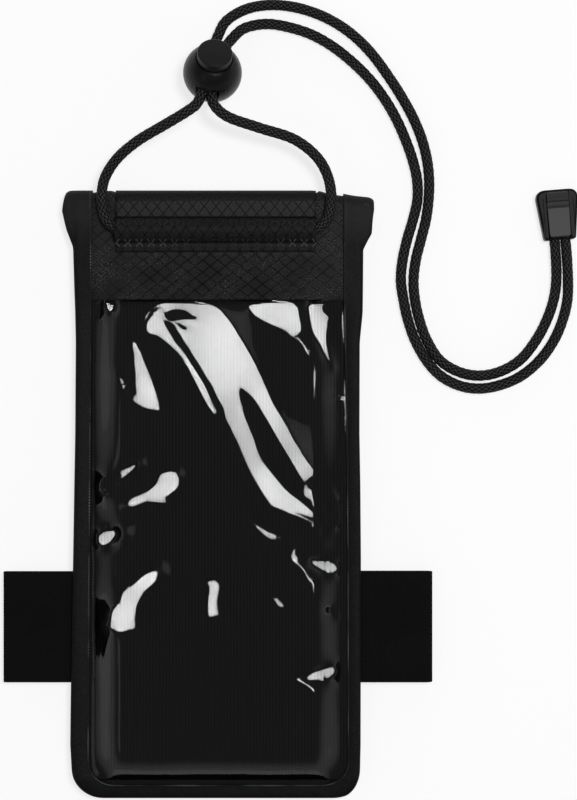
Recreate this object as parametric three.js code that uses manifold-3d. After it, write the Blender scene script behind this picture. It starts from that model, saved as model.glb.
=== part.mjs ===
// Waterproof phone pouch with a rolled top, a neck lanyard and an elastic armband.
// Millimetres, +Z up. The pouch lies on its back on z = 0, puffed out by the air shut in it,
// with its rolled top towards +Y. The origin is under the middle of the pouch and armband.
import * as THREE from 'three';
import { mergeVertices } from 'three/addons/utils/BufferGeometryUtils.js';
import Module from 'manifold-3d';

const wasm = await Module();
wasm.setup();

// Pouch body
const POUCH_WIDTH = 96.8;
const POUCH_LENGTH = 206.7;
const CORNER_RADIUS = 10;
const FABRIC = 0.5;
const FILM = 0.4;
const LAYER_GAP = 0.3;
const PILLOW_HEIGHT = 7.6;
const PILLOW_RAMP_SIDE = 10;
const PILLOW_RAMP_END = 12;
const PILLOW_FALL = 25.4;

// Dents where the clear film has been pressed in, as [x, y, turn, half width, half length, depth]
const FILM_DENTS = [
  [21, 29, -63, 8, 34, 2.5], [-21, -26, 50, 6, 9, 2.3], [-30, 8, 0, 6, 5, 2.3],
  [31, 57, 0, 8, 7, 1.8], [33, -22, 0, 6, 5, 2.0], [6, 58, -20, 7, 8, 1.5],
];

// Edge binding
const BINDING_LEG = 6.2;
const BINDING_TAPE = 0.5;
const BINDING_TOP_DROP = 6.2;
const RIM_MARGIN = 0.2;

// Header, film edge and rolled top
const HEADER_DEPTH = 37.15;
const FILM_LAP = 3.8;
const ROLL_LENGTH = 40;
const EAR_TOP_FLARE = 3.4;
const EAR_FLARE = 4.7;
const EAR_LEAD = 1.0;
const EAR_DROP = 9.0;
const EAR_LENGTH = 19.4;
const EAR_FOOT_FLARE = 0.4;
const HOOK_STRIP_WIDTH = 16;
const HOOK_STRIP_LENGTH = 78;
const HOOK_STRIP_PILE = 2.0;
const LOOP_STRIP_PILE = 2.1;
const STRIP_DROP = 21;

// Press seal inside the mouth
const SEAL_LENGTH = 72;
const SEAL_BASE_WIDTH = 5;
const SEAL_BASE = 0.4;
const SEAL_RIB_HEIGHT = 0.6;
const SEAL_RIB_WIDTH = 1.0;
const SEAL_SIDE_GAP = 0.2;

// Cord sleeve
const SLEEVE_WIDTH = 68.3;
const SLEEVE_OFFSET = -0.7;
const SLEEVE_LENGTH_FRONT = 20.7;
const SLEEVE_LENGTH_BACK = 26;
const TUNNEL_DROP = 13.2;
const CORD_PLAY = 0.4;
const TUNNEL_HALF_WIDTH = 3.9;
const TUNNEL_FOOT = 1.4;
const TUNNEL_STEPS = 10;

// Armband
const BAND_LENGTH = 146.8;
const BAND_WIDTH = 38.4;
const BAND_THICKNESS = 1.3;
const BAND_RISE = 58.15;
const BAND_OUTER_LAP = -30;
const BAND_INNER_LAP = 22;
const PATCH_LENGTH = 46;
const PATCH_WIDTH = 34;
const PATCH_PILE = 0.7;
const PATCH_INSET = 2;
const BAND_SLEEVE_FOLD_INSET = 0.2;
const BAND_SLEEVE_LENGTH = 60;
const BAND_SLEEVE_FLANGE = 8;
const BAND_SLEEVE_RISE = 2.6;
const BAND_SIDE_PLAY = 0.8;

// Lanyard cord
const CORD_DIAMETER = 3.4;
const CORD_SIDES = 8;

// Ball cord lock
const LOCK_PLACE = [-1.67, 143.24];
const LOCK_RADIUS = 10;
const LOCK_TILT = THREE.MathUtils.degToRad(31.5);
const LOCK_TURN = THREE.MathUtils.degToRad(12);
const LOCK_CORD_SPACING = 3.8;
const LOCK_CORD_GAP = 0.35;
const BUTTON_RADIUS = 6;
const BUTTON_HEIGHT = 3.6;
const BUTTON_STAND = 7.2;
const BUTTON_EDGE = 0.5;
const BUTTON_CROWN = 0.15;
const BUTTON_FOOT = [0.2, 0.3, 0.1];
const RECESS_GAP = 0.4;
const BUTTON_TRAVEL = 2.0;
const STEM_RADIUS = 5.2;
const RUNNING_GAP = 0.3;
const STEM_BRIDGE = 2.6;
const SPRING_RADIUS = 2.0;
const SPRING_WIRE = 0.5;
const SPRING_TURNS = 3;
const SPRING_POCKET = 1.8;
const SPRING_REST = 4.0;

// Cord end
const END_PLACE = [116.3, 95.66];
const END_TURN = THREE.MathUtils.degToRad(4.5);
const END_LENGTH = 17.2;
const END_WIDTH_TOP = 14.3;
const END_WIDTH_BOTTOM = 10.9;
const END_HEIGHT = 5.0;
const END_SOCKET_DEPTH = 9;
const END_CORD_SPACING = 3.7;
const END_BAR_WIDTH = 7.4;
const END_BAR_LENGTH = 15.4;
const END_BAR_TAPER = 0.6;
const END_BAR_CORNER = 1.2;
const END_BAR_DEPTH = 0.6;
const END_GROOVE = 0.6;
const END_EDGE = 0.8;
const END_CORNER = 3.2;
const END_FOOT_CORNER = 1;
const END_FOOT_FLARE = 0.1;
const END_GROOVE_OFFSET = 1.4;
const END_GROOVE_STOP = 3;
const END_FLOOR = 0.8;

// Face of the snapped-in bar as [distance from its top end, height above the body's face]
const END_BAR_FACE = [
  [0, 0.3], [0.3, 0.8], [1.4, 1.1], [2.4, 1.5], [3.0, 1.35], [3.4, 0.5], [4.6, 0.3], [5.6, 0.9], [15.1, 0.9],
  [15.4, 0.6],
];

// Route of the cord as [x, y, z], chosen by hand: cord end, loop at the side, arc over the top,
// left bore of the lock, sleeve, right bore of the lock, arc, loop and cord end again.
const ROUTE = [
  [114.97, 89.03, 2.5], [115.5, 83.43, 2.5], [115.86, 73.42, 2.1], [114.94, 66.58, 1.8],
  [112.61, 59.73, 1.8], [108.98, 52.86, 1.8], [103.44, 46.01, 1.8], [96.69, 42.08, 1.8],
  [89.83, 40.67, 1.8], [82.97, 41.78, 1.8], [76.12, 45.81, 1.8], [71.48, 52.86, 1.8],
  [68.97, 59.73, 1.8], [67.45, 66.58, 1.8], [66.95, 73.43, 1.8], [67.75, 80.29, 1.8],
  [69.46, 87.14, 1.8], [71.18, 94, 1.8], [72.09, 100.85, 1.8], [72.29, 107.71, 1.8],
  [71.58, 114.57, 1.8], [69.87, 121.42, 1.8], [67.15, 128.28, 1.8], [63.52, 135.13, 1.8],
  [58.98, 142.29, 1.8], [52.12, 151.56, 1.8], [45.27, 158.12, 1.8], [38.42, 162.56, 1.8],
  [31.56, 165.48, 1.8], [24.71, 167.19, 1.8], [17.84, 167.69, 1.8], [10.99, 166.69, 1.8],
  [5.86, 164.45, 1.9], [2.14, 161.34, 2.4], [0.11, 157.17, 3.1], [-1.57, 152.84, 4.25],
  [-5.47, 134.54, 15.7], [-7.03, 131.61, 16.4], [-10.36, 129.16, 16.3], [-17.47, 125.1, 14.9],
  [-27.54, 119.31, 13], [-34.41, 113.45, 11.2], [-38.35, 107.18, 9.6], [-39.33, 101.28, 9.15],
  [-38.93, 97.34, 9.05], [-38.21, 94.51, 9.05], [-36.6, 92.2, 9.05], [-34.4, 90.7, 9.05],
  [-31.8, 90.15, 9.05], [31.3, 90.15, 9.05], [33.9, 90.7, 9.05], [36.1, 92.2, 9.05],
  [37.62, 94.51, 9.05], [38.27, 97.34, 9.05], [38.64, 101.28, 9.2], [37.54, 107.79, 9.8],
  [34.1, 114.05, 11.4], [26.42, 120.12, 13], [13.95, 124.09, 14.9], [3.88, 127.48, 16.2],
  [0.36, 129.98, 16.5], [-1.72, 133.64, 15.7], [2.18, 152.04, 4.25], [5.06, 156.22, 2.9],
  [8.29, 159.24, 2.3], [12.51, 160.72, 1.9], [17.84, 161.14, 1.8], [24.71, 159.93, 1.8],
  [31.56, 157.72, 1.8], [38.42, 153.99, 1.8], [45.27, 148.74, 1.8], [52.12, 141.98, 1.8],
  [57.27, 135.13, 1.8], [61.2, 128.28, 1.8], [64.23, 121.42, 1.8], [66.64, 114.57, 1.8],
  [68.16, 107.71, 1.8], [68.26, 100.85, 1.8], [66.74, 94, 1.8], [64.72, 87.14, 1.8],
  [63.22, 80.29, 1.8], [62.61, 73.43, 1.8], [63.52, 66.58, 1.8], [65.03, 59.73, 1.8],
  [67.45, 52.86, 1.8], [71.28, 46.01, 1.8], [76.12, 40.67, 1.8], [82.97, 37.14, 1.8],
  [89.83, 36.23, 1.8], [96.69, 37.44, 1.8], [103.54, 40.36, 1.8], [110.3, 46.01, 1.8],
  [115.14, 52.86, 1.8], [118.06, 59.73, 1.8], [119.66, 66.58, 1.9], [119.83, 73.41, 2.2],
  [119.22, 83.74, 2.5], [118.65, 89.33, 2.5],
];

// Levels, worked out from the layers that lie on each other
const closureStack = 3 * FABRIC + HOOK_STRIP_PILE + LOOP_STRIP_PILE;
const bandStack = 3 * BAND_THICKNESS + PATCH_PILE + FABRIC + BINDING_TAPE;
const zBack = Math.max(closureStack, bandStack);
const zFront = zBack + FABRIC;
const zFilmTop = zFront + FILM;
const zHeaderTop = zFilmTop + FABRIC;
const zSleeveBack = zBack - closureStack + FABRIC;
const zHeaderBack = zSleeveBack + FABRIC;
const zRollTop = zHeaderBack + FABRIC;
const zBandTop = zBack - BINDING_TAPE;

const halfWidth = POUCH_WIDTH / 2;
const halfLength = POUCH_LENGTH / 2;
const edgeInset = BINDING_TAPE + LAYER_GAP;
const panelHalf = halfWidth - edgeInset;
const panelBottom = -halfLength + edgeInset;
const panelCorner = CORNER_RADIUS - edgeInset;
const sleeveFoldRadius = (zHeaderTop - zSleeveBack) / 2;
const foldY = halfLength - FABRIC - sleeveFoldRadius - 2 * LAYER_GAP;
const bindingTop = halfLength - BINDING_TOP_DROP;
const windowTop = halfLength - HEADER_DEPTH;
const bandY = -halfLength + BAND_RISE;
const earTop = halfWidth + EAR_TOP_FLARE;
const earHalf = halfWidth + EAR_FLARE;
const pillowFallEnd = halfLength - SLEEVE_LENGTH_FRONT - LAYER_GAP;
const pillowFallStart = pillowFallEnd - PILLOW_FALL;

const ARC_STEPS = 8;
const pieces = new THREE.Group();

function addPiece(name, geometry, color, roughness, parent = pieces) {
  const mesh = new THREE.Mesh(geometry, new THREE.MeshStandardMaterial({ color, roughness, metalness: 0 }));
  mesh.name = name;
  parent.add(mesh);
  return mesh;
}

function fromTriangles(points, triangles) {
  const geometry = new THREE.BufferGeometry();
  geometry.setAttribute('position', new THREE.Float32BufferAttribute(points.flat(), 3));
  let volume = 0;
  for (const [a, b, c] of triangles) {
    const [p, q, r] = [points[a], points[b], points[c]].map((v) => new THREE.Vector3(...v));
    volume += p.dot(q.cross(r));
  }
  const faces = volume < 0 ? triangles.map(([a, b, c]) => [a, c, b]) : triangles;
  geometry.setIndex(faces.flat());
  return geometry;
}

// A closed skin between two grids of points, given as rows of [x, y, z]
function shell(inner, outer) {
  const rows = inner.length;
  const columns = inner[0].length;
  const points = [...inner.flat(), ...outer.flat()];
  const triangles = [];
  const at = (side, row, column) => side * rows * columns + row * columns + column;
  const quad = (a, b, c, d) => triangles.push([a, b, c], [a, c, d]);
  for (let r = 0; r < rows - 1; r++) {
    for (let c = 0; c < columns - 1; c++) {
      quad(at(0, r, c), at(0, r, c + 1), at(0, r + 1, c + 1), at(0, r + 1, c));
      quad(at(1, r, c), at(1, r + 1, c), at(1, r + 1, c + 1), at(1, r, c + 1));
    }
    quad(at(0, r, 0), at(0, r + 1, 0), at(1, r + 1, 0), at(1, r, 0));
    quad(at(0, r, columns - 1), at(1, r, columns - 1), at(1, r + 1, columns - 1), at(0, r + 1, columns - 1));
  }
  for (let c = 0; c < columns - 1; c++) {
    quad(at(0, 0, c), at(1, 0, c), at(1, 0, c + 1), at(0, 0, c + 1));
    quad(at(0, rows - 1, c), at(0, rows - 1, c + 1), at(1, rows - 1, c + 1), at(1, rows - 1, c));
  }
  return fromTriangles(points, triangles);
}

// An outline in a plane, swept along a closed-ended run of stations
function sweep(sections) {
  const count = sections[0].length;
  const points = sections.flat();
  const triangles = [];
  for (let s = 0; s < sections.length - 1; s++) {
    for (let k = 0; k < count; k++) {
      const next = (k + 1) % count;
      const [a, b] = [s * count + k, s * count + next];
      triangles.push([a, b, b + count], [a, b + count, a + count]);
    }
  }
  return { points, triangles, count };
}

function extrudeAlong(shape, direction, length) {
  const geometry = new THREE.ExtrudeGeometry(shape, { depth: length, bevelEnabled: false, curveSegments: 12 });
  geometry.translate(0, 0, -length / 2);
  if (direction === 'x') {
    geometry.rotateY(Math.PI / 2);
    geometry.rotateX(Math.PI / 2);
  }
  if (direction === 'y') {
    geometry.rotateX(Math.PI / 2);
  }
  return geometry;
}

function box(x0, x1, y0, y1, z0, z1) {
  const geometry = new THREE.BoxGeometry(x1 - x0, y1 - y0, z1 - z0);
  geometry.translate((x0 + x1) / 2, (y0 + y1) / 2, (z0 + z1) / 2);
  return geometry;
}

function toSolid(geometry) {
  const bare = geometry.clone();
  bare.deleteAttribute('normal');
  bare.deleteAttribute('uv');
  const merged = mergeVertices(bare, 1e-4);
  const vertProperties = new Float32Array(merged.attributes.position.array);
  const triVerts = new Uint32Array(merged.index.array);
  return new wasm.Manifold(new wasm.Mesh({ numProp: 3, vertProperties, triVerts }));
}

function toGeometry(solid) {
  const mesh = solid.getMesh();
  const geometry = new THREE.BufferGeometry();
  geometry.setAttribute('position', new THREE.Float32BufferAttribute(mesh.vertProperties, 3));
  geometry.setIndex(Array.from(mesh.triVerts));
  return geometry;
}

function cut(body, ...tools) {
  return toGeometry(tools.reduce((solid, tool) => solid.subtract(toSolid(tool)), toSolid(body)));
}

function join(...parts) {
  return toGeometry(parts.map(toSolid).reduce((whole, part) => whole.add(part)));
}

// Even steps from one value to another, both ends included
function spread(from, to, steps) {
  return Array.from({ length: steps + 1 }, (_, k) => from + ((to - from) * k) / steps);
}

// How far the front wall stands off the back one at a place
function pillow(x, y) {
  const flange = BINDING_LEG + RIM_MARGIN;
  const side = THREE.MathUtils.clamp((halfWidth - flange - Math.abs(x)) / PILLOW_RAMP_SIDE, 0, 1);
  const end = THREE.MathUtils.clamp((y + halfLength - flange) / PILLOW_RAMP_END, 0, 1);
  const fall = THREE.MathUtils.clamp((y - pillowFallStart) / PILLOW_FALL, 0, 1);
  const rise = (t) => 1 - (1 - t) ** 2;
  return PILLOW_HEIGHT * rise(side) * rise(end) * 0.5 * (1 + Math.cos(Math.PI * fall));
}

// How deep the film is pressed in at a place: nothing at the rim, where it is welded down
function filmDent(x, y) {
  const share = pillow(x, y) / PILLOW_HEIGHT;
  return FILM_DENTS.reduce((sum, [x0, y0, turn, halfAcross, halfAlong, depth]) => {
    const angle = THREE.MathUtils.degToRad(turn);
    const along = (x - x0) * Math.cos(angle) + (y - y0) * Math.sin(angle);
    const across = (y - y0) * Math.cos(angle) - (x - x0) * Math.sin(angle);
    return sum + share * depth * Math.exp(-((along / halfAlong) ** 2) - (across / halfAcross) ** 2);
  }, 0);
}

// Stations of a layer that lies flat, turns over the top fold and runs back down behind
function foldStations(front, zUp, zDown, shift, back) {
  const radius = (zUp - zDown) / 2;
  const stations = front.map((y) => ({ y, z: zUp, ny: 0, nz: 1 }));
  for (let k = 0; k <= ARC_STEPS; k++) {
    const angle = Math.PI / 2 - (Math.PI * k) / ARC_STEPS;
    stations.push({
      y: foldY + shift + radius * Math.cos(angle), z: zDown + radius + radius * Math.sin(angle),
      ny: Math.cos(angle), nz: Math.sin(angle), turn: k / ARC_STEPS,
    });
  }
  return stations.concat(back.map((y) => ({ y, z: zDown, ny: 0, nz: -1, turn: 1 })));
}

// Half width of the fabric: straight sides, widening into the ears of the rolled top
function fabricHalf({ y, turn }) {
  const start = bindingTop + EAR_LEAD;
  if (turn === undefined) {
    return THREE.MathUtils.mapLinear(Math.max(y, start), start, foldY, panelHalf, earTop - EAR_LEAD);
  }
  if (turn < 1) {
    return earTop - EAR_LEAD * (1 - turn);
  }
  const down = halfLength - y;
  if (down < EAR_DROP) {
    return THREE.MathUtils.mapLinear(down, halfLength - foldY, EAR_DROP, earTop, earHalf);
  }
  const foot = halfWidth + EAR_FOOT_FLARE;
  return THREE.MathUtils.mapLinear(Math.min(down, EAR_LENGTH), EAR_DROP, EAR_LENGTH, earHalf, foot);
}

// Rows at the round bottom corners, as [y, half width]
function cornerRows() {
  const rows = [];
  for (let k = 0; k <= ARC_STEPS; k++) {
    const angle = (Math.PI / 2) * (k / ARC_STEPS);
    const half = panelHalf - panelCorner * (1 - Math.sin(angle));
    rows.push([panelBottom + panelCorner * (1 - Math.cos(angle)), half]);
  }
  return rows;
}

// Columns of the puffed layers: both edges, the rim of the pillow and shares of the way in
const rimHalf = halfWidth - BINDING_LEG - RIM_MARGIN;
const INWARD = [0.93, 0.86, 0.77, 0.66, 0.48, 0.24];
const rimShare = rimHalf / panelHalf;
const rightHalf = [...INWARD].reverse().map((share) => share * rimShare).concat(rimShare, 1);
const ACROSS = [...[...rightHalf].reverse().map((u) => -u), 0, ...rightHalf];
const FILM_ROWS = 20;
const ACROSS_PLAIN = [-1, -0.5, 0, 0.5, 1];
const flapEnd = halfLength - ROLL_LENGTH;
const earFoot = halfLength - EAR_LENGTH;
const flapRows = [halfLength - EAR_DROP, earFoot, (earFoot + flapEnd) / 2, flapEnd];

// Back panel: flat behind the pocket, rolled over at the top
function backPanel() {
  const low = cornerRows();
  const front = [...spread(panelBottom + panelCorner, bindingTop + EAR_LEAD, 6).slice(1)];
  const stations = foldStations(front, zBack, zRollTop, 0, flapRows);
  const rows = [
    ...low.map(([y, half]) => ({ y, z: zBack, ny: 0, nz: 1, half })),
    ...stations.map((s) => ({ ...s, half: fabricHalf(s) })),
  ];
  const face = (lift) => rows.map((s) => ACROSS_PLAIN.map((u) => [
    u * s.half, s.y + s.ny * lift, s.z + s.nz * lift,
  ]));
  return shell(face(0), face(FABRIC));
}

// Header: the coated cloth above the window, on the pillow's shoulder and over the roll
function headerPanel() {
  const front = [...spread(windowTop, pillowFallEnd, 8), bindingTop + EAR_LEAD];
  const rows = foldStations(front, zFilmTop, zHeaderBack, LAYER_GAP, flapRows);
  const grid = (offset) => rows.map((s) => ACROSS.map((u) => {
    const x = u * fabricHalf(s);
    const lift = s.turn === undefined ? pillow(x, s.y) : 0;
    const play = Math.min(lift, LAYER_GAP);
    return [x, s.y + s.ny * offset, s.z + s.nz * offset + lift + play];
  }));
  return shell(grid(0), grid(FABRIC));
}

// Clear film of the window, welded flat round its rim and puffed out inside it
function windowFilm() {
  const low = cornerRows();
  const rampEnd = -halfLength + BINDING_LEG + RIM_MARGIN + PILLOW_RAMP_END;
  const straight = [
    ...spread(panelBottom + panelCorner, rampEnd, 4).slice(1),
    ...spread(rampEnd, pillowFallStart, FILM_ROWS).slice(1),
    ...spread(pillowFallStart, windowTop + FILM_LAP, 6).slice(1),
  ];
  const rows = [...low, ...straight.map((y) => [y, panelHalf])];
  const grid = (offset) => rows.map(([y, half]) => ACROSS.map((u) => {
    const x = u * half;
    const dent = y < windowTop ? filmDent(x, y) : 0;
    return [x, y, zFront + offset + pillow(x, y) - dent];
  }));
  return shell(grid(0), grid(FILM));
}

// Binding: a tape folded round both sides and the bottom, with a leg on each face
function edgeBinding() {
  const zLow = zBack - BINDING_TAPE;
  const zHigh = zHeaderTop + BINDING_TAPE;
  const section = [
    [0, zLow], [0, zHigh], [BINDING_LEG, zHigh], [BINDING_LEG, zHeaderTop],
    [BINDING_TAPE, zHeaderTop], [BINDING_TAPE, zBack], [BINDING_LEG, zBack], [BINDING_LEG, zLow],
  ];
  const centreX = halfWidth - CORNER_RADIUS;
  const centreY = -halfLength + CORNER_RADIUS;
  const stations = [[-halfWidth, bindingTop, 1, 0]];
  for (const side of [-1, 1]) {
    for (let k = 0; k <= ARC_STEPS; k++) {
      const angle = (Math.PI / 2) * (side < 0 ? k / ARC_STEPS : 1 - k / ARC_STEPS);
      const [nx, ny] = [side * Math.cos(angle), -Math.sin(angle)];
      stations.push([side * centreX + nx * CORNER_RADIUS, centreY + ny * CORNER_RADIUS, -nx, -ny]);
    }
  }
  stations.push([halfWidth, bindingTop, -1, 0]);
  const sections = stations.map(([x, y, nx, ny]) => section.map(([d, z]) => [x + nx * d, y + ny * d, z]));
  const { points, triangles, count } = sweep(sections);
  const flat = section.map(([d, z]) => new THREE.Vector2(d, z));
  const cap = THREE.ShapeUtils.triangulateShape(flat, []);
  const last = points.length - count;
  const clockwise = THREE.ShapeUtils.isClockWise(flat);
  for (const [a, b, c] of cap) {
    triangles.push(clockwise ? [a, b, c] : [a, c, b], clockwise
      ? [last + a, last + c, last + b] : [last + a, last + b, last + c]);
  }
  return fromTriangles(points, triangles);
}

// Cord sleeve: a strip over the roll with a tunnel across its front
function cordSleeve() {
  const tunnelY = halfLength - TUNNEL_DROP;
  const height = CORD_DIAMETER + 2 * CORD_PLAY;
  const flat = (y) => ({ y, z: zHeaderTop, ny: 0, nz: 1 });
  const front = [flat(halfLength - SLEEVE_LENGTH_FRONT), flat(tunnelY - TUNNEL_HALF_WIDTH - TUNNEL_FOOT)];
  for (let k = 0; k <= TUNNEL_STEPS; k++) {
    const angle = Math.PI * (1 - k / TUNNEL_STEPS);
    const foot = k === 0 || k === TUNNEL_STEPS;
    const [c, s] = [Math.cos(angle), Math.sin(angle)];
    front.push({
      y: tunnelY + TUNNEL_HALF_WIDTH * c, z: zHeaderTop + height * s,
      ny: foot ? 0 : c, nz: foot ? 1 : s,
    });
  }
  front.push(flat(tunnelY + TUNNEL_HALF_WIDTH + TUNNEL_FOOT));
  const back = [halfLength - EAR_DROP, halfLength - SLEEVE_LENGTH_BACK];
  const rows = [...front, ...foldStations([], zHeaderTop, zSleeveBack, 2 * LAYER_GAP, back)];
  const across = [-0.5, 0, 0.5].map((u) => SLEEVE_OFFSET + u * SLEEVE_WIDTH);
  const grid = (offset) => rows.map((s) => across.map((x) => [x, s.y + s.ny * offset, s.z + s.nz * offset]));
  return shell(grid(0), grid(FABRIC));
}

// Hook and loop strips that hold the rolled top down behind the pouch
function closureStrip(zLow, zHigh) {
  const y = halfLength - STRIP_DROP;
  return box(-HOOK_STRIP_LENGTH / 2, HOOK_STRIP_LENGTH / 2, y - HOOK_STRIP_WIDTH, y, zLow, zHigh);
}

const sealY = windowTop + FILM_LAP + LAYER_GAP + SEAL_BASE_WIDTH / 2;

// Press seal: one track carries a bead, the other the two lips that grip it
function sealTrack(outline) {
  const shape = new THREE.Shape(outline.map(([y, z]) => new THREE.Vector2(y, z)));
  return extrudeAlong(shape, 'x', SEAL_LENGTH);
}

function backTrack() {
  const [low, top] = [zFront, zFront + SEAL_BASE];
  const half = SEAL_BASE_WIDTH / 2;
  const rib = SEAL_RIB_WIDTH / 2;
  const peak = top + SEAL_RIB_HEIGHT;
  return sealTrack([
    [sealY - half, low], [sealY + half, low], [sealY + half, top], [sealY + rib, top],
    [sealY + rib, peak], [sealY - rib, peak], [sealY - rib, top], [sealY - half, top],
  ]);
}

function frontTrack() {
  const low = zFront + SEAL_BASE;
  const root = low + SEAL_RIB_HEIGHT;
  const high = root + SEAL_BASE;
  const half = SEAL_BASE_WIDTH / 2;
  const near = SEAL_RIB_WIDTH / 2 + SEAL_SIDE_GAP;
  const far = near + SEAL_RIB_WIDTH;
  return sealTrack([
    [sealY - half, root], [sealY - far, root], [sealY - far, low], [sealY - near, low],
    [sealY - near, root], [sealY + near, root], [sealY + near, low], [sealY + far, low],
    [sealY + far, root], [sealY + half, root], [sealY + half, high], [sealY - half, high],
  ]);
}

// Armband: an elastic strip laid flat as a loop, its two ends lapped under the pouch
const zUpperRun = zBandTop - BAND_THICKNESS;
const zInnerLap = zUpperRun - FABRIC - BAND_THICKNESS;
const zOuterLap = zInnerLap - PATCH_PILE - BAND_THICKNESS;

function armband() {
  const reach = BAND_LENGTH / 2;
  const shape = new THREE.Shape();
  const right = (zBandTop - zOuterLap) / 2;
  const left = (zBandTop - zInnerLap) / 2;
  shape.moveTo(BAND_OUTER_LAP, zOuterLap);
  shape.lineTo(reach - right, zOuterLap);
  shape.absarc(reach - right, zOuterLap + right, right, -Math.PI / 2, Math.PI / 2, false);
  shape.lineTo(-reach + left, zBandTop);
  shape.absarc(-reach + left, zInnerLap + left, left, Math.PI / 2, Math.PI * 1.5, false);
  shape.lineTo(BAND_INNER_LAP, zInnerLap);
  shape.lineTo(BAND_INNER_LAP, zInnerLap + BAND_THICKNESS);
  shape.lineTo(-reach + left, zInnerLap + BAND_THICKNESS);
  shape.absarc(-reach + left, zInnerLap + left, left - BAND_THICKNESS, Math.PI * 1.5, Math.PI / 2, true);
  shape.lineTo(reach - right, zUpperRun);
  shape.absarc(reach - right, zOuterLap + right, right - BAND_THICKNESS, Math.PI / 2, -Math.PI / 2, true);
  shape.lineTo(BAND_OUTER_LAP, zOuterLap + BAND_THICKNESS);
  const geometry = extrudeAlong(shape, 'y', BAND_WIDTH);
  geometry.translate(0, bandY, 0);
  return geometry;
}

function hookPatch() {
  const x0 = BAND_OUTER_LAP + PATCH_INSET;
  const z0 = zOuterLap + BAND_THICKNESS;
  return box(x0, x0 + PATCH_LENGTH, bandY - PATCH_WIDTH / 2, bandY + PATCH_WIDTH / 2, z0, z0 + PATCH_PILE);
}

// Band sleeve: the cloth loop on the back panel that the armband runs through
function bandSleeve() {
  const half = BAND_WIDTH / 2 + BAND_SIDE_PLAY;
  const rise = half + BAND_SLEEVE_RISE;
  const end = rise + BAND_SLEEVE_FLANGE;
  const zLow = zUpperRun - FABRIC;
  const inset = BAND_SLEEVE_FOLD_INSET;
  const outline = [
    [-end, zBack - FABRIC], [-rise, zBack - FABRIC], [-half, zLow], [half, zLow], [rise, zBack - FABRIC],
    [end, zBack - FABRIC], [end, zBack], [rise - inset, zBack], [half - inset, zLow + FABRIC],
    [-half + inset, zLow + FABRIC], [-rise + inset, zBack], [-end, zBack],
  ];
  const shape = new THREE.Shape(outline.map(([y, z]) => new THREE.Vector2(bandY + y, z)));
  return extrudeAlong(shape, 'x', BAND_SLEEVE_LENGTH);
}

// Lanyard: one round cord, with one step of the tube to each point of its route
class CordPath extends THREE.CatmullRomCurve3 {
  getPointAt(t, target) {
    return this.getPoint(t, target);
  }

  getTangentAt(t, target) {
    return this.getTangent(t, target);
  }
}

function lanyardCord() {
  const path = new CordPath(ROUTE.map((point) => new THREE.Vector3(...point)), false, 'centripetal');
  const corners = Array.from({ length: CORD_SIDES }, (_, k) => {
    const angle = (2 * Math.PI * k) / CORD_SIDES;
    return new THREE.Vector2(Math.cos(angle), Math.sin(angle)).multiplyScalar(CORD_DIAMETER / 2);
  });
  const section = new THREE.Shape(corners);
  const settings = { steps: ROUTE.length - 1, extrudePath: path, bevelEnabled: false };
  return new THREE.ExtrudeGeometry(section, settings);
}

// Ball cord lock, in its own axes: the button moves along z and the cords pass along y
const slotHalf = (LOCK_CORD_SPACING + CORD_DIAMETER) / 2 + LOCK_CORD_GAP;
const slotFloor = -(CORD_DIAMETER / 2 + LOCK_CORD_GAP);
const stemBottom = slotFloor - STEM_BRIDGE;
const wellFloor = stemBottom + SPRING_POCKET - SPRING_REST - RUNNING_GAP * 2;

function cylinder(radius, z0, z1, segments = 32) {
  const geometry = new THREE.CylinderGeometry(radius, radius, z1 - z0, segments);
  geometry.rotateX(Math.PI / 2);
  geometry.translate(0, 0, (z0 + z1) / 2);
  return geometry;
}

function lockHousing() {
  const ball = new THREE.SphereGeometry(LOCK_RADIUS, 40, 24);
  ball.rotateX(Math.PI / 2);
  const well = cylinder(STEM_RADIUS + RUNNING_GAP, wellFloor, LOCK_RADIUS + 1);
  const recessFloor = BUTTON_STAND - BUTTON_TRAVEL - RUNNING_GAP;
  const recess = cylinder(BUTTON_RADIUS + RECESS_GAP, recessFloor, LOCK_RADIUS + 1);
  const mouth = box(-slotHalf, slotHalf, -LOCK_RADIUS - 1, LOCK_RADIUS + 1, slotFloor, -slotFloor);
  return cut(ball, well, recess, mouth);
}

function lockPlunger() {
  const top = BUTTON_STAND + BUTTON_HEIGHT;
  const bottom = BUTTON_STAND - BUTTON_FOOT[2];
  const soft = BUTTON_EDGE * 0.3;
  const button = new THREE.LatheGeometry([
    new THREE.Vector2(0, bottom), new THREE.Vector2(BUTTON_RADIUS - BUTTON_FOOT[0], bottom),
    new THREE.Vector2(BUTTON_RADIUS, BUTTON_STAND + BUTTON_FOOT[1]),
    new THREE.Vector2(BUTTON_RADIUS, top - BUTTON_EDGE),
    new THREE.Vector2(BUTTON_RADIUS - soft, top - soft),
    new THREE.Vector2(BUTTON_RADIUS - BUTTON_EDGE, top),
    new THREE.Vector2(0, top + BUTTON_CROWN),
  ], 40);
  button.rotateX(Math.PI / 2);
  const stem = cylinder(STEM_RADIUS, stemBottom, BUTTON_STAND);
  const window = box(-slotHalf, slotHalf, -LOCK_RADIUS, LOCK_RADIUS, slotFloor, -slotFloor + BUTTON_TRAVEL);
  const pocketRadius = SPRING_RADIUS + SPRING_WIRE / 2 + RUNNING_GAP;
  const pocket = cylinder(pocketRadius, stemBottom - 1, stemBottom + SPRING_POCKET, 24);
  return cut(join(button, stem), window, pocket);
}

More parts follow.
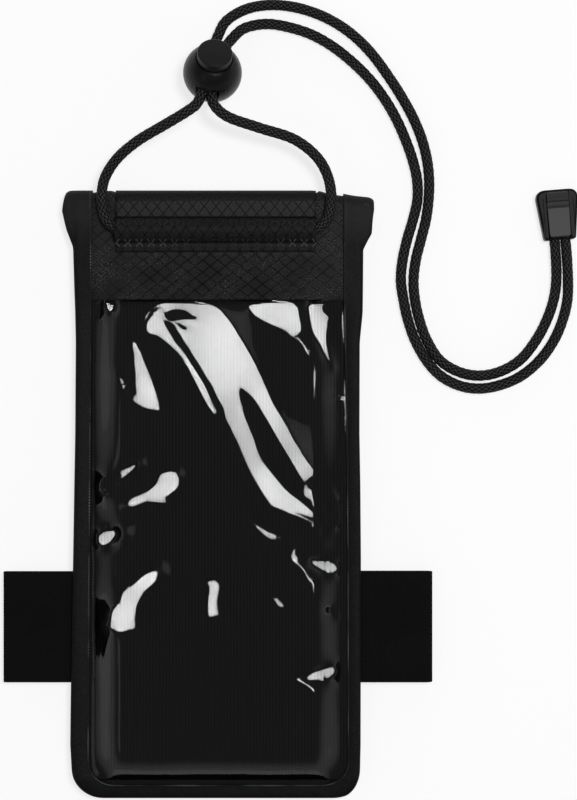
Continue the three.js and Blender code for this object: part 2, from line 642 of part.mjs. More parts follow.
function lockSpring() {
  class Helix extends THREE.Curve {
    getPoint(t, target = new THREE.Vector3()) {
      const angle = 2 * Math.PI * SPRING_TURNS * t;
      const low = wellFloor + RUNNING_GAP + SPRING_WIRE / 2;
      const z = low + (SPRING_REST - SPRING_WIRE) * t;
      return target.set(SPRING_RADIUS * Math.cos(angle), SPRING_RADIUS * Math.sin(angle), z);
    }
  }
  const section = new THREE.Shape();
  section.absarc(0, 0, SPRING_WIRE / 2, 0, 2 * Math.PI, false);
  return new THREE.ExtrudeGeometry(section, {
    steps: 16 * SPRING_TURNS, extrudePath: new Helix(), bevelEnabled: false, curveSegments: 6,
  });
}

// Cord end: a wedge-shaped body that grips both ends, with a bar snapped into its face
function roundedOutline(widthTop, widthBottom, length, radius) {
  const [a, b, h] = [widthTop / 2, widthBottom / 2, length / 2];
  const [foot, flare] = [END_FOOT_CORNER, END_FOOT_FLARE];
  const shape = new THREE.Shape();
  shape.moveTo(-b + foot, -h);
  shape.lineTo(b - foot, -h);
  shape.quadraticCurveTo(b, -h, b + flare, -h + foot);
  shape.lineTo(a, h - radius);
  shape.quadraticCurveTo(a, h, a - radius, h);
  shape.lineTo(-a + radius, h);
  shape.quadraticCurveTo(-a, h, -a, h - radius);
  shape.lineTo(-b - flare, -h + foot);
  shape.quadraticCurveTo(-b, -h, -b + foot, -h);
  return shape;
}

function endBody() {
  const outline = roundedOutline(END_WIDTH_TOP, END_WIDTH_BOTTOM, END_LENGTH, END_CORNER);
  const block = new THREE.ExtrudeGeometry(outline, {
    depth: END_HEIGHT - 2 * END_EDGE, bevelEnabled: true, bevelThickness: END_EDGE, bevelSize: END_EDGE,
    bevelOffset: -END_EDGE, bevelSegments: 3, curveSegments: 6,
  });
  block.translate(0, 0, END_EDGE);
  const socketY = -END_LENGTH / 2;
  const z = CORD_DIAMETER / 2 + END_FLOOR;
  const half = (END_CORD_SPACING + CORD_DIAMETER) / 2 + LAYER_GAP;
  const radius = CORD_DIAMETER / 2 + LAYER_GAP;
  const socket = box(-half, half, socketY - 1, socketY + END_SOCKET_DEPTH, z - radius, z + radius);
  const [barHalf, barLength] = [END_BAR_WIDTH / 2 + LAYER_GAP, END_BAR_LENGTH / 2 + LAYER_GAP];
  const seat = box(-barHalf, barHalf, -barLength, barLength, END_HEIGHT - END_BAR_DEPTH, END_HEIGHT + 1);
  const grooves = [-1, 1].map((side) => {
    const x = side * (END_BAR_WIDTH / 2 + END_GROOVE_OFFSET);
    return box(x - END_GROOVE / 2, x + END_GROOVE / 2, -END_LENGTH / 2 - 1, END_LENGTH / 2 - END_GROOVE_STOP,
      END_HEIGHT - END_GROOVE, END_HEIGHT + 1);
  });
  return cut(block, socket, seat, ...grooves);
}

function endBar() {
  const low = END_HEIGHT - END_BAR_DEPTH + LAYER_GAP;
  const half = END_BAR_LENGTH / 2;
  const top = END_BAR_FACE.map(([down, rise]) => [half - down, END_HEIGHT + rise]).reverse();
  const profile = [[-half, low], ...top, [half, low]];
  const side = new THREE.Shape(profile.map(([y, z]) => new THREE.Vector2(y, z)));
  const face = toSolid(extrudeAlong(side, 'x', END_BAR_WIDTH));
  const outline = roundedOutline(END_BAR_WIDTH, END_BAR_WIDTH - END_BAR_TAPER, END_BAR_LENGTH, END_BAR_CORNER);
  const block = new THREE.ExtrudeGeometry(outline, { depth: END_HEIGHT, bevelEnabled: false, curveSegments: 5 });
  block.translate(0, 0, low);
  return toGeometry(face.intersect(toSolid(block)));
}

const BLACK_CLOTH = 0x1f1f20;
addPiece('back_panel', backPanel(), BLACK_CLOTH, 0.75);
addPiece('header_panel', headerPanel(), 0x232324, 0.7);
addPiece('window_film', windowFilm(), 0xdfe6ea, 0.08);
addPiece('edge_binding', edgeBinding(), 0x1a1a1b, 0.65);
addPiece('cord_sleeve', cordSleeve(), 0x272728, 0.65);
addPiece('closure_hook_strip', closureStrip(zRollTop, zRollTop + HOOK_STRIP_PILE), 0x151515, 0.95);
addPiece('closure_loop_strip', closureStrip(zRollTop + HOOK_STRIP_PILE, zBack), 0x151515, 0.95);
addPiece('seal_track_back', backTrack(), 0x2a2c2e, 0.4);
addPiece('seal_track_front', frontTrack(), 0x2a2c2e, 0.4);
addPiece('armband', armband(), 0x161616, 0.95);
addPiece('armband_hook_patch', hookPatch(), 0x121212, 0.95);
addPiece('armband_sleeve', bandSleeve(), BLACK_CLOTH, 0.75);
addPiece('lanyard_cord', lanyardCord(), 0x141414, 0.85);

const lockTurn = new THREE.Group();
lockTurn.position.set(LOCK_PLACE[0], LOCK_PLACE[1], LOCK_RADIUS);
lockTurn.rotation.z = -LOCK_TURN;
const lock = new THREE.Group();
lock.rotation.x = -LOCK_TILT;
lockTurn.add(lock);
pieces.add(lockTurn);
addPiece('cord_lock_housing', lockHousing(), 0x1c1c1d, 0.5, lock);
addPiece('cord_lock_plunger', lockPlunger(), 0x1e1e1f, 0.5, lock);
addPiece('cord_lock_spring', lockSpring(), 0xb8bcc0, 0.3, lock);

const cordEnd = new THREE.Group();
cordEnd.position.set(END_PLACE[0], END_PLACE[1], 0);
cordEnd.rotation.z = END_TURN;
pieces.add(cordEnd);
addPiece('cord_end_body', endBody(), 0x1b1b1c, 0.5, cordEnd);
addPiece('cord_end_bar', endBar(), 0x3a3a3b, 0.35, cordEnd);

export default pieces;
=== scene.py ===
import math

import bpy
import numpy as np
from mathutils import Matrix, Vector


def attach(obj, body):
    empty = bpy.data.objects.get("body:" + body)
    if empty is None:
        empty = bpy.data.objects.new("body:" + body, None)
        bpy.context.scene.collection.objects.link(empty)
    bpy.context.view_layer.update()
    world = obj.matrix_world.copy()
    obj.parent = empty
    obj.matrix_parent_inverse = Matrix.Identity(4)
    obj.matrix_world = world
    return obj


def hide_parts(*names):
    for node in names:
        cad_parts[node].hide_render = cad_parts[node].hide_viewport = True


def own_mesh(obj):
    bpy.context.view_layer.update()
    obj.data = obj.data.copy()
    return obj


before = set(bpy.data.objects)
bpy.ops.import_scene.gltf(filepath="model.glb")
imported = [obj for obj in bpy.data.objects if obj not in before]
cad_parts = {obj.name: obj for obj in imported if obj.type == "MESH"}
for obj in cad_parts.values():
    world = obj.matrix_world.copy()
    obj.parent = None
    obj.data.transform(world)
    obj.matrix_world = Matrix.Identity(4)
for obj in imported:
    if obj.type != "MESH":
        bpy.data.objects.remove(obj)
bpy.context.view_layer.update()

# Camera
# The pouch lies on its back, so the camera looks straight down on it, with the rolled top
# towards the upper edge of the picture.
VIEW_CENTRE = (0.0241, 0.0323)
VIEW_HEIGHT = 0.7635
FOCAL_LENGTH = 100
SENSOR_WIDTH = 36

camera_data = bpy.data.cameras.new("camera")
camera_data.lens = FOCAL_LENGTH
camera_data.sensor_width = SENSOR_WIDTH
camera = bpy.data.objects.new("camera", camera_data)
camera.location = (VIEW_CENTRE[0], VIEW_CENTRE[1], VIEW_HEIGHT)
bpy.context.scene.collection.objects.link(camera)
bpy.context.scene.camera = camera

# Lanyard cord
# A round black braid 3.4 mm thick, one length that runs from the cord end round the side, over
# the top, through the ball lock and the sleeve, and back beside itself to the cord end.
MM = 0.001
CORD_DIAMETER = 0.0034
# The middle of the cord along its way, in millimetres.
CORD_ROUTE = [
    (114.97, 89.03, 2.5), (115.5, 83.43, 2.5), (115.86, 73.42, 2.1), (114.94, 66.58, 1.8),
    (112.61, 59.73, 1.8), (108.98, 52.86, 1.8), (103.44, 46.01, 1.8), (96.69, 42.08, 1.8),
    (89.83, 40.67, 1.8), (82.97, 41.78, 1.8), (76.12, 45.81, 1.8), (71.48, 52.86, 1.8),
    (68.97, 59.73, 1.8), (67.45, 66.58, 1.8), (66.95, 73.43, 1.8), (67.75, 80.29, 1.8),
    (69.46, 87.14, 1.8), (71.18, 94, 1.8), (72.09, 100.85, 1.8), (72.29, 107.71, 1.8),
    (71.58, 114.57, 1.8), (69.87, 121.42, 1.8), (67.15, 128.28, 1.8), (63.52, 135.13, 1.8),
    (58.98, 142.29, 1.8), (52.12, 151.56, 1.8), (45.27, 158.12, 1.8), (38.42, 162.56, 1.8),
    (31.56, 165.48, 1.8), (24.71, 167.19, 1.8), (17.84, 167.69, 1.8), (10.99, 166.69, 1.8),
    (5.86, 164.45, 1.9), (2.14, 161.34, 2.4), (0.11, 157.17, 3.1), (-1.57, 152.84, 4.25),
    (-5.47, 134.54, 15.7), (-7.03, 131.61, 16.4), (-10.36, 129.16, 16.3), (-17.47, 125.1, 14.9),
    (-27.54, 119.31, 13), (-34.41, 113.45, 11.2), (-38.35, 107.18, 9.6), (-39.33, 101.28, 9.15),
    (-38.93, 97.34, 9.05), (-38.21, 94.51, 9.05), (-36.6, 92.2, 9.05), (-34.4, 90.7, 9.05),
    (-31.8, 90.15, 9.05), (31.3, 90.15, 9.05), (33.9, 90.7, 9.05), (36.1, 92.2, 9.05),
    (37.62, 94.51, 9.05), (38.27, 97.34, 9.05), (38.64, 101.28, 9.2), (37.54, 107.79, 9.8),
    (34.1, 114.05, 11.4), (26.42, 120.12, 13), (13.95, 124.09, 14.9), (3.88, 127.48, 16.2),
    (0.36, 129.98, 16.5), (-1.72, 133.64, 15.7), (2.18, 152.04, 4.25), (5.06, 156.22, 2.9),
    (8.29, 159.24, 2.3), (12.51, 160.72, 1.9), (17.84, 161.14, 1.8), (24.71, 159.93, 1.8),
    (31.56, 157.72, 1.8), (38.42, 153.99, 1.8), (45.27, 148.74, 1.8), (52.12, 141.98, 1.8),
    (57.27, 135.13, 1.8), (61.2, 128.28, 1.8), (64.23, 121.42, 1.8), (66.64, 114.57, 1.8),
    (68.16, 107.71, 1.8), (68.26, 100.85, 1.8), (66.74, 94, 1.8), (64.72, 87.14, 1.8),
    (63.22, 80.29, 1.8), (62.61, 73.43, 1.8), (63.52, 66.58, 1.8), (65.03, 59.73, 1.8),
    (67.45, 52.86, 1.8), (71.28, 46.01, 1.8), (76.12, 40.67, 1.8), (82.97, 37.14, 1.8),
    (89.83, 36.23, 1.8), (96.69, 37.44, 1.8), (103.54, 40.36, 1.8), (110.3, 46.01, 1.8),
    (115.14, 52.86, 1.8), (118.06, 59.73, 1.8), (119.66, 66.58, 1.9), (119.83, 73.41, 2.2),
    (119.22, 83.74, 2.5), (118.65, 89.33, 2.5),
]
CORD_STEP = 0.0004
CORD_SIDES = 32
BRAID_STRANDS = 8
BRAID_PITCH = 0.0046
BRAID_RELIEF = 0.00042
YARNS_IN_STRAND = 4
CURVE_STEPS = 24


def run_along(points):
    """How far along a line each of its points lies."""
    return np.concatenate([[0], np.cumsum(np.linalg.norm(np.diff(points, axis=0), axis=1))])


def between_points(before, after, share):
    return (1 - share) * before + share * after


def smooth_route(points, step):
    """A centripetal Catmull-Rom curve through the points, resampled to an even step."""
    p = np.vstack([2 * points[0] - points[1], points, 2 * points[-1] - points[-2]])
    knots = np.concatenate([[0], np.cumsum(np.linalg.norm(np.diff(p, axis=0), axis=1) ** 0.5)])
    dense = []
    for i in range(1, len(p) - 2):
        t = np.linspace(knots[i], knots[i + 1], CURVE_STEPS, endpoint=False)[:, None]
        k = knots[i - 1:i + 3]
        curve, shares = p[i - 1:i + 3], [(t - k[j]) / (k[j + 1] - k[j]) for j in range(3)]
        a = [between_points(curve[j], curve[j + 1], shares[j]) for j in range(3)]
        b = [between_points(a[j], a[j + 1], (t - k[j]) / (k[j + 2] - k[j])) for j in range(2)]
        dense.append(between_points(b[0], b[1], shares[1]))
    dense = np.vstack(dense + [p[-2:-1]])
    run = run_along(dense)
    places = np.linspace(0, run[-1], int(round(run[-1] / step)) + 1)
    return np.stack([np.interp(places, run, dense[:, j]) for j in range(3)], axis=1), places


def new_piece(name, vertices, faces, uvs=None, smooth=True):
    """A mesh object from points and faces, with a uv pair to each corner of a face if given."""
    mesh = bpy.data.meshes.new(name)
    mesh.from_pydata([tuple(v) for v in vertices], [], faces)
    if uvs is not None:
        layer = mesh.uv_layers.new(name="cloth")
        layer.data.foreach_set("uv", np.array(uvs, dtype=np.float32).ravel())
    mesh.polygons.foreach_set("use_smooth", [smooth] * len(mesh.polygons))
    mesh.update()
    piece = bpy.data.objects.new(name, mesh)
    bpy.context.scene.collection.objects.link(piece)
    return piece


def braided_tube(name, path, places, radius, sides):
    """A tube whose skin rises and falls with the strands of a round braid."""
    tangent = np.gradient(path, axis=0)
    tangent /= np.linalg.norm(tangent, axis=1)[:, None]
    side = np.cross(tangent[0], (0, 0, 1.0))
    side /= np.linalg.norm(side)
    rings = []
    turn = np.arange(sides) / sides
    for centre, along, place in zip(path, tangent, places):
        side = side - along * side.dot(along)
        side /= np.linalg.norm(side)
        up = np.cross(side, along)
        p = BRAID_STRANDS * turn + place / BRAID_PITCH * BRAID_STRANDS / 4
        q = BRAID_STRANDS * turn - place / BRAID_PITCH * BRAID_STRANDS / 4
        over = (np.floor(p) + np.floor(q)) % 2
        swell = np.where(over > 0, np.sin(np.pi * (p % 1)), np.sin(np.pi * (q % 1)))
        r = radius - BRAID_RELIEF * (1 - swell)
        angle = 2 * np.pi * turn
        outward = np.cos(angle)[:, None] * side + np.sin(angle)[:, None] * up
        rings.append(centre + r[:, None] * outward)
    vertices = np.vstack(rings)
    faces, uvs = [], []
    for i in range(len(path) - 1):
        for k in range(sides):
            n = (k + 1) % sides
            faces.append((i * sides + k, i * sides + n, (i + 1) * sides + n, (i + 1) * sides + k))
            u0, u1 = k / sides, (k + 1) / sides
            uvs += [(u0, places[i]), (u1, places[i]), (u1, places[i + 1]), (u0, places[i + 1])]
    last = (len(path) - 1) * sides
    faces += [tuple(range(sides - 1, -1, -1)), tuple(last + k for k in range(sides))]
    uvs += [(0, 0)] * sides * 2
    return new_piece(name, vertices, faces, uvs)


def fill(socket, value):
    """Set a node's input, or link it where the value is the output of another node."""
    if isinstance(value, bpy.types.NodeSocket):
        socket.id_data.links.new(value, socket)
    else:
        socket.default_value = value


def add_node(tree, kind, **inputs):
    """A shader node with its inputs filled; i0 stands for the first input, i1 for the second."""
    node = tree.nodes.new(kind)
    for name, value in inputs.items():
        key = int(name[1:]) if name[0] == "i" and name[1:].isdigit() else name.replace("_", " ")
        fill(node.inputs[key], value)
    return node


def arithmetic(operation, *values):
    """One step of arithmetic on the values of a finish, in the node tree that they belong to."""
    tree = next(value.id_data for value in values if isinstance(value, bpy.types.NodeSocket))
    node = tree.nodes.new("ShaderNodeMath")
    node.operation = operation
    for socket, value in zip(node.inputs, values):
        fill(socket, value)
    return node.outputs[0]


def times(a, b):
    return arithmetic("MULTIPLY", a, b)


def plus(a, b):
    return arithmetic("ADD", a, b)


def minus(a, b):
    return arithmetic("SUBTRACT", a, b)


def scaled(value, gain, shift):
    return arithmetic("MULTIPLY_ADD", value, gain, shift)


def wave(value, rate):
    return arithmetic("SINE", times(value, rate))


def noise(vector, scale, detail=2.0):
    node = add_node(vector.id_data, "ShaderNodeTexNoise", Vector=vector, Scale=scale, Detail=detail)
    return node.outputs["Fac"]


def grey(level):
    return (level, level, level)


def blend_colours(factor, dark, light):
    """From one colour at 0 to the other at 1; each is three numbers or the output of a node."""
    node = factor.id_data.nodes.new("ShaderNodeMix")
    node.data_type = "RGBA"
    fill(node.inputs[0], factor)
    for socket, colour in ((node.inputs[6], dark), (node.inputs[7], light)):
        fill(socket, colour if isinstance(colour, bpy.types.NodeSocket) else (*colour, 1))
    return node.outputs[2]


def relief(height, depth):
    node = add_node(height.id_data, "ShaderNodeBump", Height=height, Strength=1.0, Distance=depth)
    return node.outputs["Normal"]


def new_finish(name, roughness, **constants):
    """A material with the inputs of its Principled shader, ready for colour and relief."""
    material = bpy.data.materials.new(name)
    material.use_nodes = True
    shader = material.node_tree.nodes["Principled BSDF"].inputs
    shader["Roughness"].default_value = roughness
    for socket, value in constants.items():
        shader[socket.replace("_", " ")].default_value = value
    return material, shader


def give_skin(shader, colour, height, depth):
    """Give a finish its colour and the relief of its surface."""
    fill(shader["Base Color"], colour)
    fill(shader["Normal"], relief(height, depth))


def uv_axes(material):
    """The two flat directions of a cloth, in metres."""
    uv = add_node(material.node_tree, "ShaderNodeUVMap").outputs["UV"]
    split = add_node(material.node_tree, "ShaderNodeSeparateXYZ", Vector=uv)
    return uv, split.outputs["X"], split.outputs["Y"]


def dress(piece, material):
    piece.data.materials.clear()
    piece.data.materials.append(material)


def braid_finish():
    """Black yarn with a painted highlight on the crown of each strand, and the course of the
    braid's strands.
    """
    material, shader = new_finish("black_braid", 0.5, Specular_IOR_Level=0.13)
    uv, u, v = uv_axes(material)
    around, along = times(u, BRAID_STRANDS), times(v, BRAID_STRANDS / 4 / BRAID_PITCH)
    p, q = plus(around, along), minus(around, along)
    whole = plus(arithmetic("FLOOR", p), arithmetic("FLOOR", q))
    over = arithmetic("FLOORED_MODULO", whole, 2.0)
    lie = plus(times(over, arithmetic("FRACT", p)), times(minus(1.0, over), arithmetic("FRACT", q)))
    crown = wave(lie, math.pi)
    yarns = wave(lie, 2 * math.pi * YARNS_IN_STRAND)
    # Painted highlight: the crown of each strand is painted paler, in patches, over the near-black
    # yarn.
    light = times(arithmetic("POWER", crown, 5.0), scaled(noise(uv, 900.0), 3.4, -0.9))
    give_skin(shader, blend_colours(light, grey(0.0005), (0.088, 0.088, 0.089)),
              plus(crown, times(yarns, 0.25)), 0.0001)
    return material


cord_path, cord_places = smooth_route(np.array(CORD_ROUTE) * MM, CORD_STEP)
braid_radius = CORD_DIAMETER / 2 + BRAID_RELIEF * 0.4
lanyard = braided_tube("lanyard_braid", cord_path, cord_places, braid_radius, CORD_SIDES)
dress(lanyard, braid_finish())
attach(lanyard, "pouch")
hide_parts("lanyard_cord")
lock_coil = bpy.data.objects.new("lock_coil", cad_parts["cord_lock_spring"].data.copy())
bpy.context.scene.collection.objects.link(lock_coil)
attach(lock_coil, "pouch")
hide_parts("cord_lock_spring")

# Floor and light
# A plain pale floor, a soft sky that is dimmer overhead than at the horizon, and two square
# softboxes above the pouch, one strong and one weak.
FLOOR_SIZE = 6.0
FLOOR_SHADE = 0.38
FLOOR_GLOW = 1 - FLOOR_SHADE * 0.66
SKY_OVERHEAD = 0.14
SKY_HORIZON = 0.7
KEY_PLACE = (0.30, 0.205, 1.18)
KEY_SIDE = 0.30
KEY_RADIANCE = 26.0
FILL_PLACE = (-0.9, -0.5, 1.3)
FILL_SIDE = 0.7
FILL_RADIANCE = 0.7


def softbox(name, place, side, radiance):
    """A square softbox that faces the pouch, brightest in its middle."""
    data = bpy.data.lights.new(name, "AREA")
    data.shape = "SQUARE"
    data.size = side
    data.energy = radiance * math.pi * side * side
    data.use_nodes = True
    tree = data.node_tree
    spot = add_node(tree, "ShaderNodeNewGeometry").outputs["Parametric"]
    from_middle = add_node(tree, "ShaderNodeVectorMath", i0=spot, i1=(0.5, 0.5, 0))
    from_middle.operation = "DISTANCE"
    fade = add_node(tree, "ShaderNodeMapRange", Value=from_middle.outputs["Value"],
                    From_Min=0.0, From_Max=0.6, To_Min=1.25, To_Max=0.55)
    fill(tree.nodes["Emission"].inputs["Strength"], fade.outputs["Result"])
    lamp = bpy.data.objects.new(name, data)
    lamp.location = place
    lamp.rotation_euler = (-Vector(place)).to_track_quat("-Z", "Y").to_euler()
    bpy.context.scene.collection.objects.link(lamp)


def empty_finish(name):
    """A material without a shader yet, its node tree and the input that takes the surface."""
    material = bpy.data.materials.new(name)
    material.use_nodes = True
    nodes = material.node_tree.nodes
    nodes.remove(nodes["Principled BSDF"])
    return material, material.node_tree, nodes["Material Output"].inputs["Surface"]


def pale_floor():
    """A floor that takes the pouch's shadow and is white to the camera and in reflections."""
    material, tree, surface = empty_finish("pale_floor")
    rays = add_node(tree, "ShaderNodeLightPath").outputs
    mirrored = arithmetic("MAXIMUM", rays["Is Glossy Ray"], rays["Is Transmission Ray"])
    seen = arithmetic("MAXIMUM", rays["Is Camera Ray"], mirrored)
    glow = add_node(tree, "ShaderNodeEmission", Strength=times(seen, FLOOR_GLOW))
    matt = add_node(tree, "ShaderNodeBsdfDiffuse", Color=(*grey(FLOOR_SHADE), 1))
    both = add_node(tree, "ShaderNodeAddShader", i0=glow.outputs[0], i1=matt.outputs[0])
    fill(surface, both.outputs[0])
    return material


def sky():
    world = bpy.data.worlds.new("sky")
    bpy.context.scene.world = world
    world.use_nodes = True
    tree = world.node_tree
    place = add_node(tree, "ShaderNodeTexCoord").outputs["Generated"]
    upward = add_node(tree, "ShaderNodeSeparateXYZ", Vector=place).outputs["Z"]
    fade = add_node(tree, "ShaderNodeMapRange", Value=upward, From_Min=0.05, From_Max=0.55,
                    To_Min=SKY_HORIZON, To_Max=SKY_OVERHEAD)
    fade.interpolation_type = "SMOOTHSTEP"
    background = tree.nodes["Background"].inputs
    fill(background["Strength"], fade.outputs["Result"])
    fill(background["Color"], (1, 1, 1, 1))


floor_corners = [(x * FLOOR_SIZE / 2, y * FLOOR_SIZE / 2, 0)
                 for x, y in ((-1, -1), (1, -1), (1, 1), (-1, 1))]
floor = new_piece("floor", floor_corners, [(0, 1, 2, 3)])
dress(floor, pale_floor())
sky()
softbox("key_softbox", KEY_PLACE, KEY_SIDE, KEY_RADIANCE)
softbox("fill_softbox", FILL_PLACE, FILL_SIDE, FILL_RADIANCE)
bpy.context.scene.view_settings.view_transform = "Standard"

# Back panel
# Black coated cloth, the whole back wall in one piece. Its inner face shows through the window,
# with fine lengthwise ribs; its top end is rolled over behind, as the header's is.
POUCH_HALF = 0.0484
POUCH_END = 0.10335
CORNER = 0.010
INSET = 0.0008
CLOTH_HALF = 0.0476
CLOTH = 0.0005
BINDING_LEG = 0.0056
BINDING_TOP = 0.09715
Z_BACK = 0.0056
Z_ROLL = 0.0015
FOLD_Y = 0.09900
FOLD_FRONT = 0.098
FOLD_BEHIND = 0.0957
FOLD_TURNS = 14
FLAP_END = 0.06335
FLAP_ROWS = 12
RIB_PITCH = 0.0011
# The left and right edges wander and flare into the ears, and the seams beside them wander too:
# heights from the bottom corner to the top, and how far out each lies there, in millimetres.
LEFT_EDGE = (
    [-94, -85, -67, -21, 4, 21, 52, 62, 70, 83.5, 84.8, 90.3, 96.3, 98.5, 103.5],
    [49.8, 50.3, 50.1, 49.3, 48.9, 48.6, 48.4, 48.6, 48.9, 49.3, 49.5, 51.6, 53.1, 52.8, 51.8])
RIGHT_EDGE = (
    [-94, -85, -21, 4, 21, 52, 62, 70, 83.5, 87.3, 89, 96.3, 99, 103.5],
    [48.5, 48.7, 48.8, 48.6, 48.3, 48.4, 49.4, 49.5, 49.6, 51.5, 52.5, 53, 53.3, 53.3])
LEFT_SEAM = ([-90, -30, 60, 100], [0.9, 0.7, 0.1, 0])
RIGHT_SEAM = ([-90, -20, 30, 66], [1.4, 1.3, 0.8, 0])
# The roll lies a little high, and steps down beyond the cord sleeve on the right.
ROLL_RISE = ([32, 34.5, 37.5, 42.3, 46.5, 53], [0.6, 0.4, -0.1, -0.4, -1.2, -1.8])


def part_way(value, start, reach, most=1):
    """How far a value has come along a stretch that begins at start, from 0 to 1."""
    return np.clip((value - start) / reach, 0, most)


def from_table(table, value):
    """Read a table in millimetres at a place in metres."""
    places, amounts = np.array(table) * MM
    return np.interp(value, places, amounts)


def edge_drift(x, y):
    """How far a point near an edge is carried outwards by the edge's and the seam's own course."""
    x, y = np.asarray(x, dtype=float), np.asarray(y, dtype=float)
    left = x < 0
    outer = np.where(left, from_table(LEFT_EDGE, y), from_table(RIGHT_EDGE, y)) - POUCH_HALF
    seam = np.where(left, from_table(LEFT_SEAM, y), from_table(RIGHT_SEAM, y))
    share = part_way(np.abs(x), POUCH_HALF - BINDING_LEG, BINDING_LEG, 1.1)
    inside_share = part_way(np.abs(x), 0.034, 0.008)
    return np.sign(x) * (outer * share + seam * (1 - np.clip(share, 0, 1)) * inside_share)


def top_drift(x, y):
    return from_table(ROLL_RISE, x) * part_way(y, 0.093, 0.005)


def fold_profile(front, z_up, z_down, shift, back):
    """Points (y, z, turned) of a layer that runs up, over the fold and down behind."""
    radius = (z_up - z_down) / 2
    points = [(y, z_up, -1.0) for y in front]
    for k in range(FOLD_TURNS + 1):
        angle = math.pi / 2 - math.pi * k / FOLD_TURNS
        points.append((FOLD_Y + shift + radius * math.cos(angle),
                       z_down + radius + radius * math.sin(angle), k / FOLD_TURNS))
    return points + [(y, z_down, 2.0) for y in back]


def flat_run(rows, front_rows=0):
    """How far along the cloth each row lies; the front rows keep their own y."""
    middle = rows[:, rows.shape[1] // 2]
    down = run_along(middle)
    down += middle[front_rows, 1] - down[front_rows]
    down[:front_rows] = middle[:front_rows, 1]
    return down


def grid_faces(index):
    """The four-cornered faces between the points of a grid."""
    corners = index[:-1, :-1], index[:-1, 1:], index[1:, 1:], index[1:, :-1]
    return np.stack(corners, axis=-1).reshape(-1, 4)


def sheet_piece(name, rows, thickness, material, flat=None, front_rows=0):
    """A sheet from rows of points, given its thickness on the outer side, with uv in metres."""
    rows = np.array(rows)
    faces = grid_faces(np.arange(rows.shape[0] * rows.shape[1]).reshape(rows.shape[:2]))
    if flat is None:
        flat = laid_flat(rows[:, :, 0], flat_run(rows, front_rows))
    uvs = flat.reshape(-1, 2)[faces.reshape(-1)]
    piece = new_piece(name, rows.reshape(-1, 3), faces.tolist(), uvs)
    if thickness:
        solid = piece.modifiers.new("thickness", "SOLIDIFY")
        solid.thickness = thickness
        solid.offset = 1
    dress(piece, material)
    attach(piece, "pouch")
    return piece


def laid_flat(across, run):
    """Where each point of a sheet lies when it is flat: across it, and along its run."""
    return np.stack(np.broadcast_arrays(across, run[:, None]), axis=-1)


def corner_rows():
    """Rows (y, half width) round the bottom corners of a sheet set in from the outer edge."""
    radius = CORNER - INSET
    half, low = POUCH_HALF - INSET, -POUCH_END + INSET
    angles = np.linspace(0, math.pi / 2, 12)
    return [(low + radius * (1 - math.cos(t)), half - radius * (1 - math.sin(t))) for t in angles]


def ribbed_cloth():
    material, shader = new_finish("ribbed_cloth", 0.6, Specular_IOR_Level=0.08)
    uv, u, _ = uv_axes(material)
    stretched = add_node(material.node_tree, "ShaderNodeMapping", Vector=uv, Scale=(2400, 60, 1))
    streak = noise(stretched.outputs[0], 1.0, 3.0)
    ribs = wave(u, 2 * math.pi / RIB_PITCH)
    give_skin(shader, blend_colours(streak, grey(0.0025), grey(0.008)),
              plus(times(ribs, 0.5), streak), 0.0001)
    return material


across = np.linspace(-1, 1, 41)
rows = []
for y, half in corner_rows():
    x = across * half
    rows.append(list(zip(x + edge_drift(x, y), np.full(len(x), y), np.full(len(x), Z_BACK))))
straight = np.linspace(-0.0933, 0.094, 60)[1:]
flap = np.linspace(FOLD_BEHIND, FLAP_END, FLAP_ROWS)
for y, z, turned in fold_profile([*straight, BINDING_TOP, FOLD_FRONT], Z_BACK, Z_ROLL, 0, flap):
    x = across * CLOTH_HALF
    rows.append(list(zip(x + edge_drift(x, y), y + top_drift(x, y), np.full(len(x), z))))
back_cloth = sheet_piece("back_cloth", rows, CLOTH, ribbed_cloth(),
                         front_rows=len(rows) - FLAP_ROWS - FOLD_TURNS - 1)
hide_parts("back_panel")

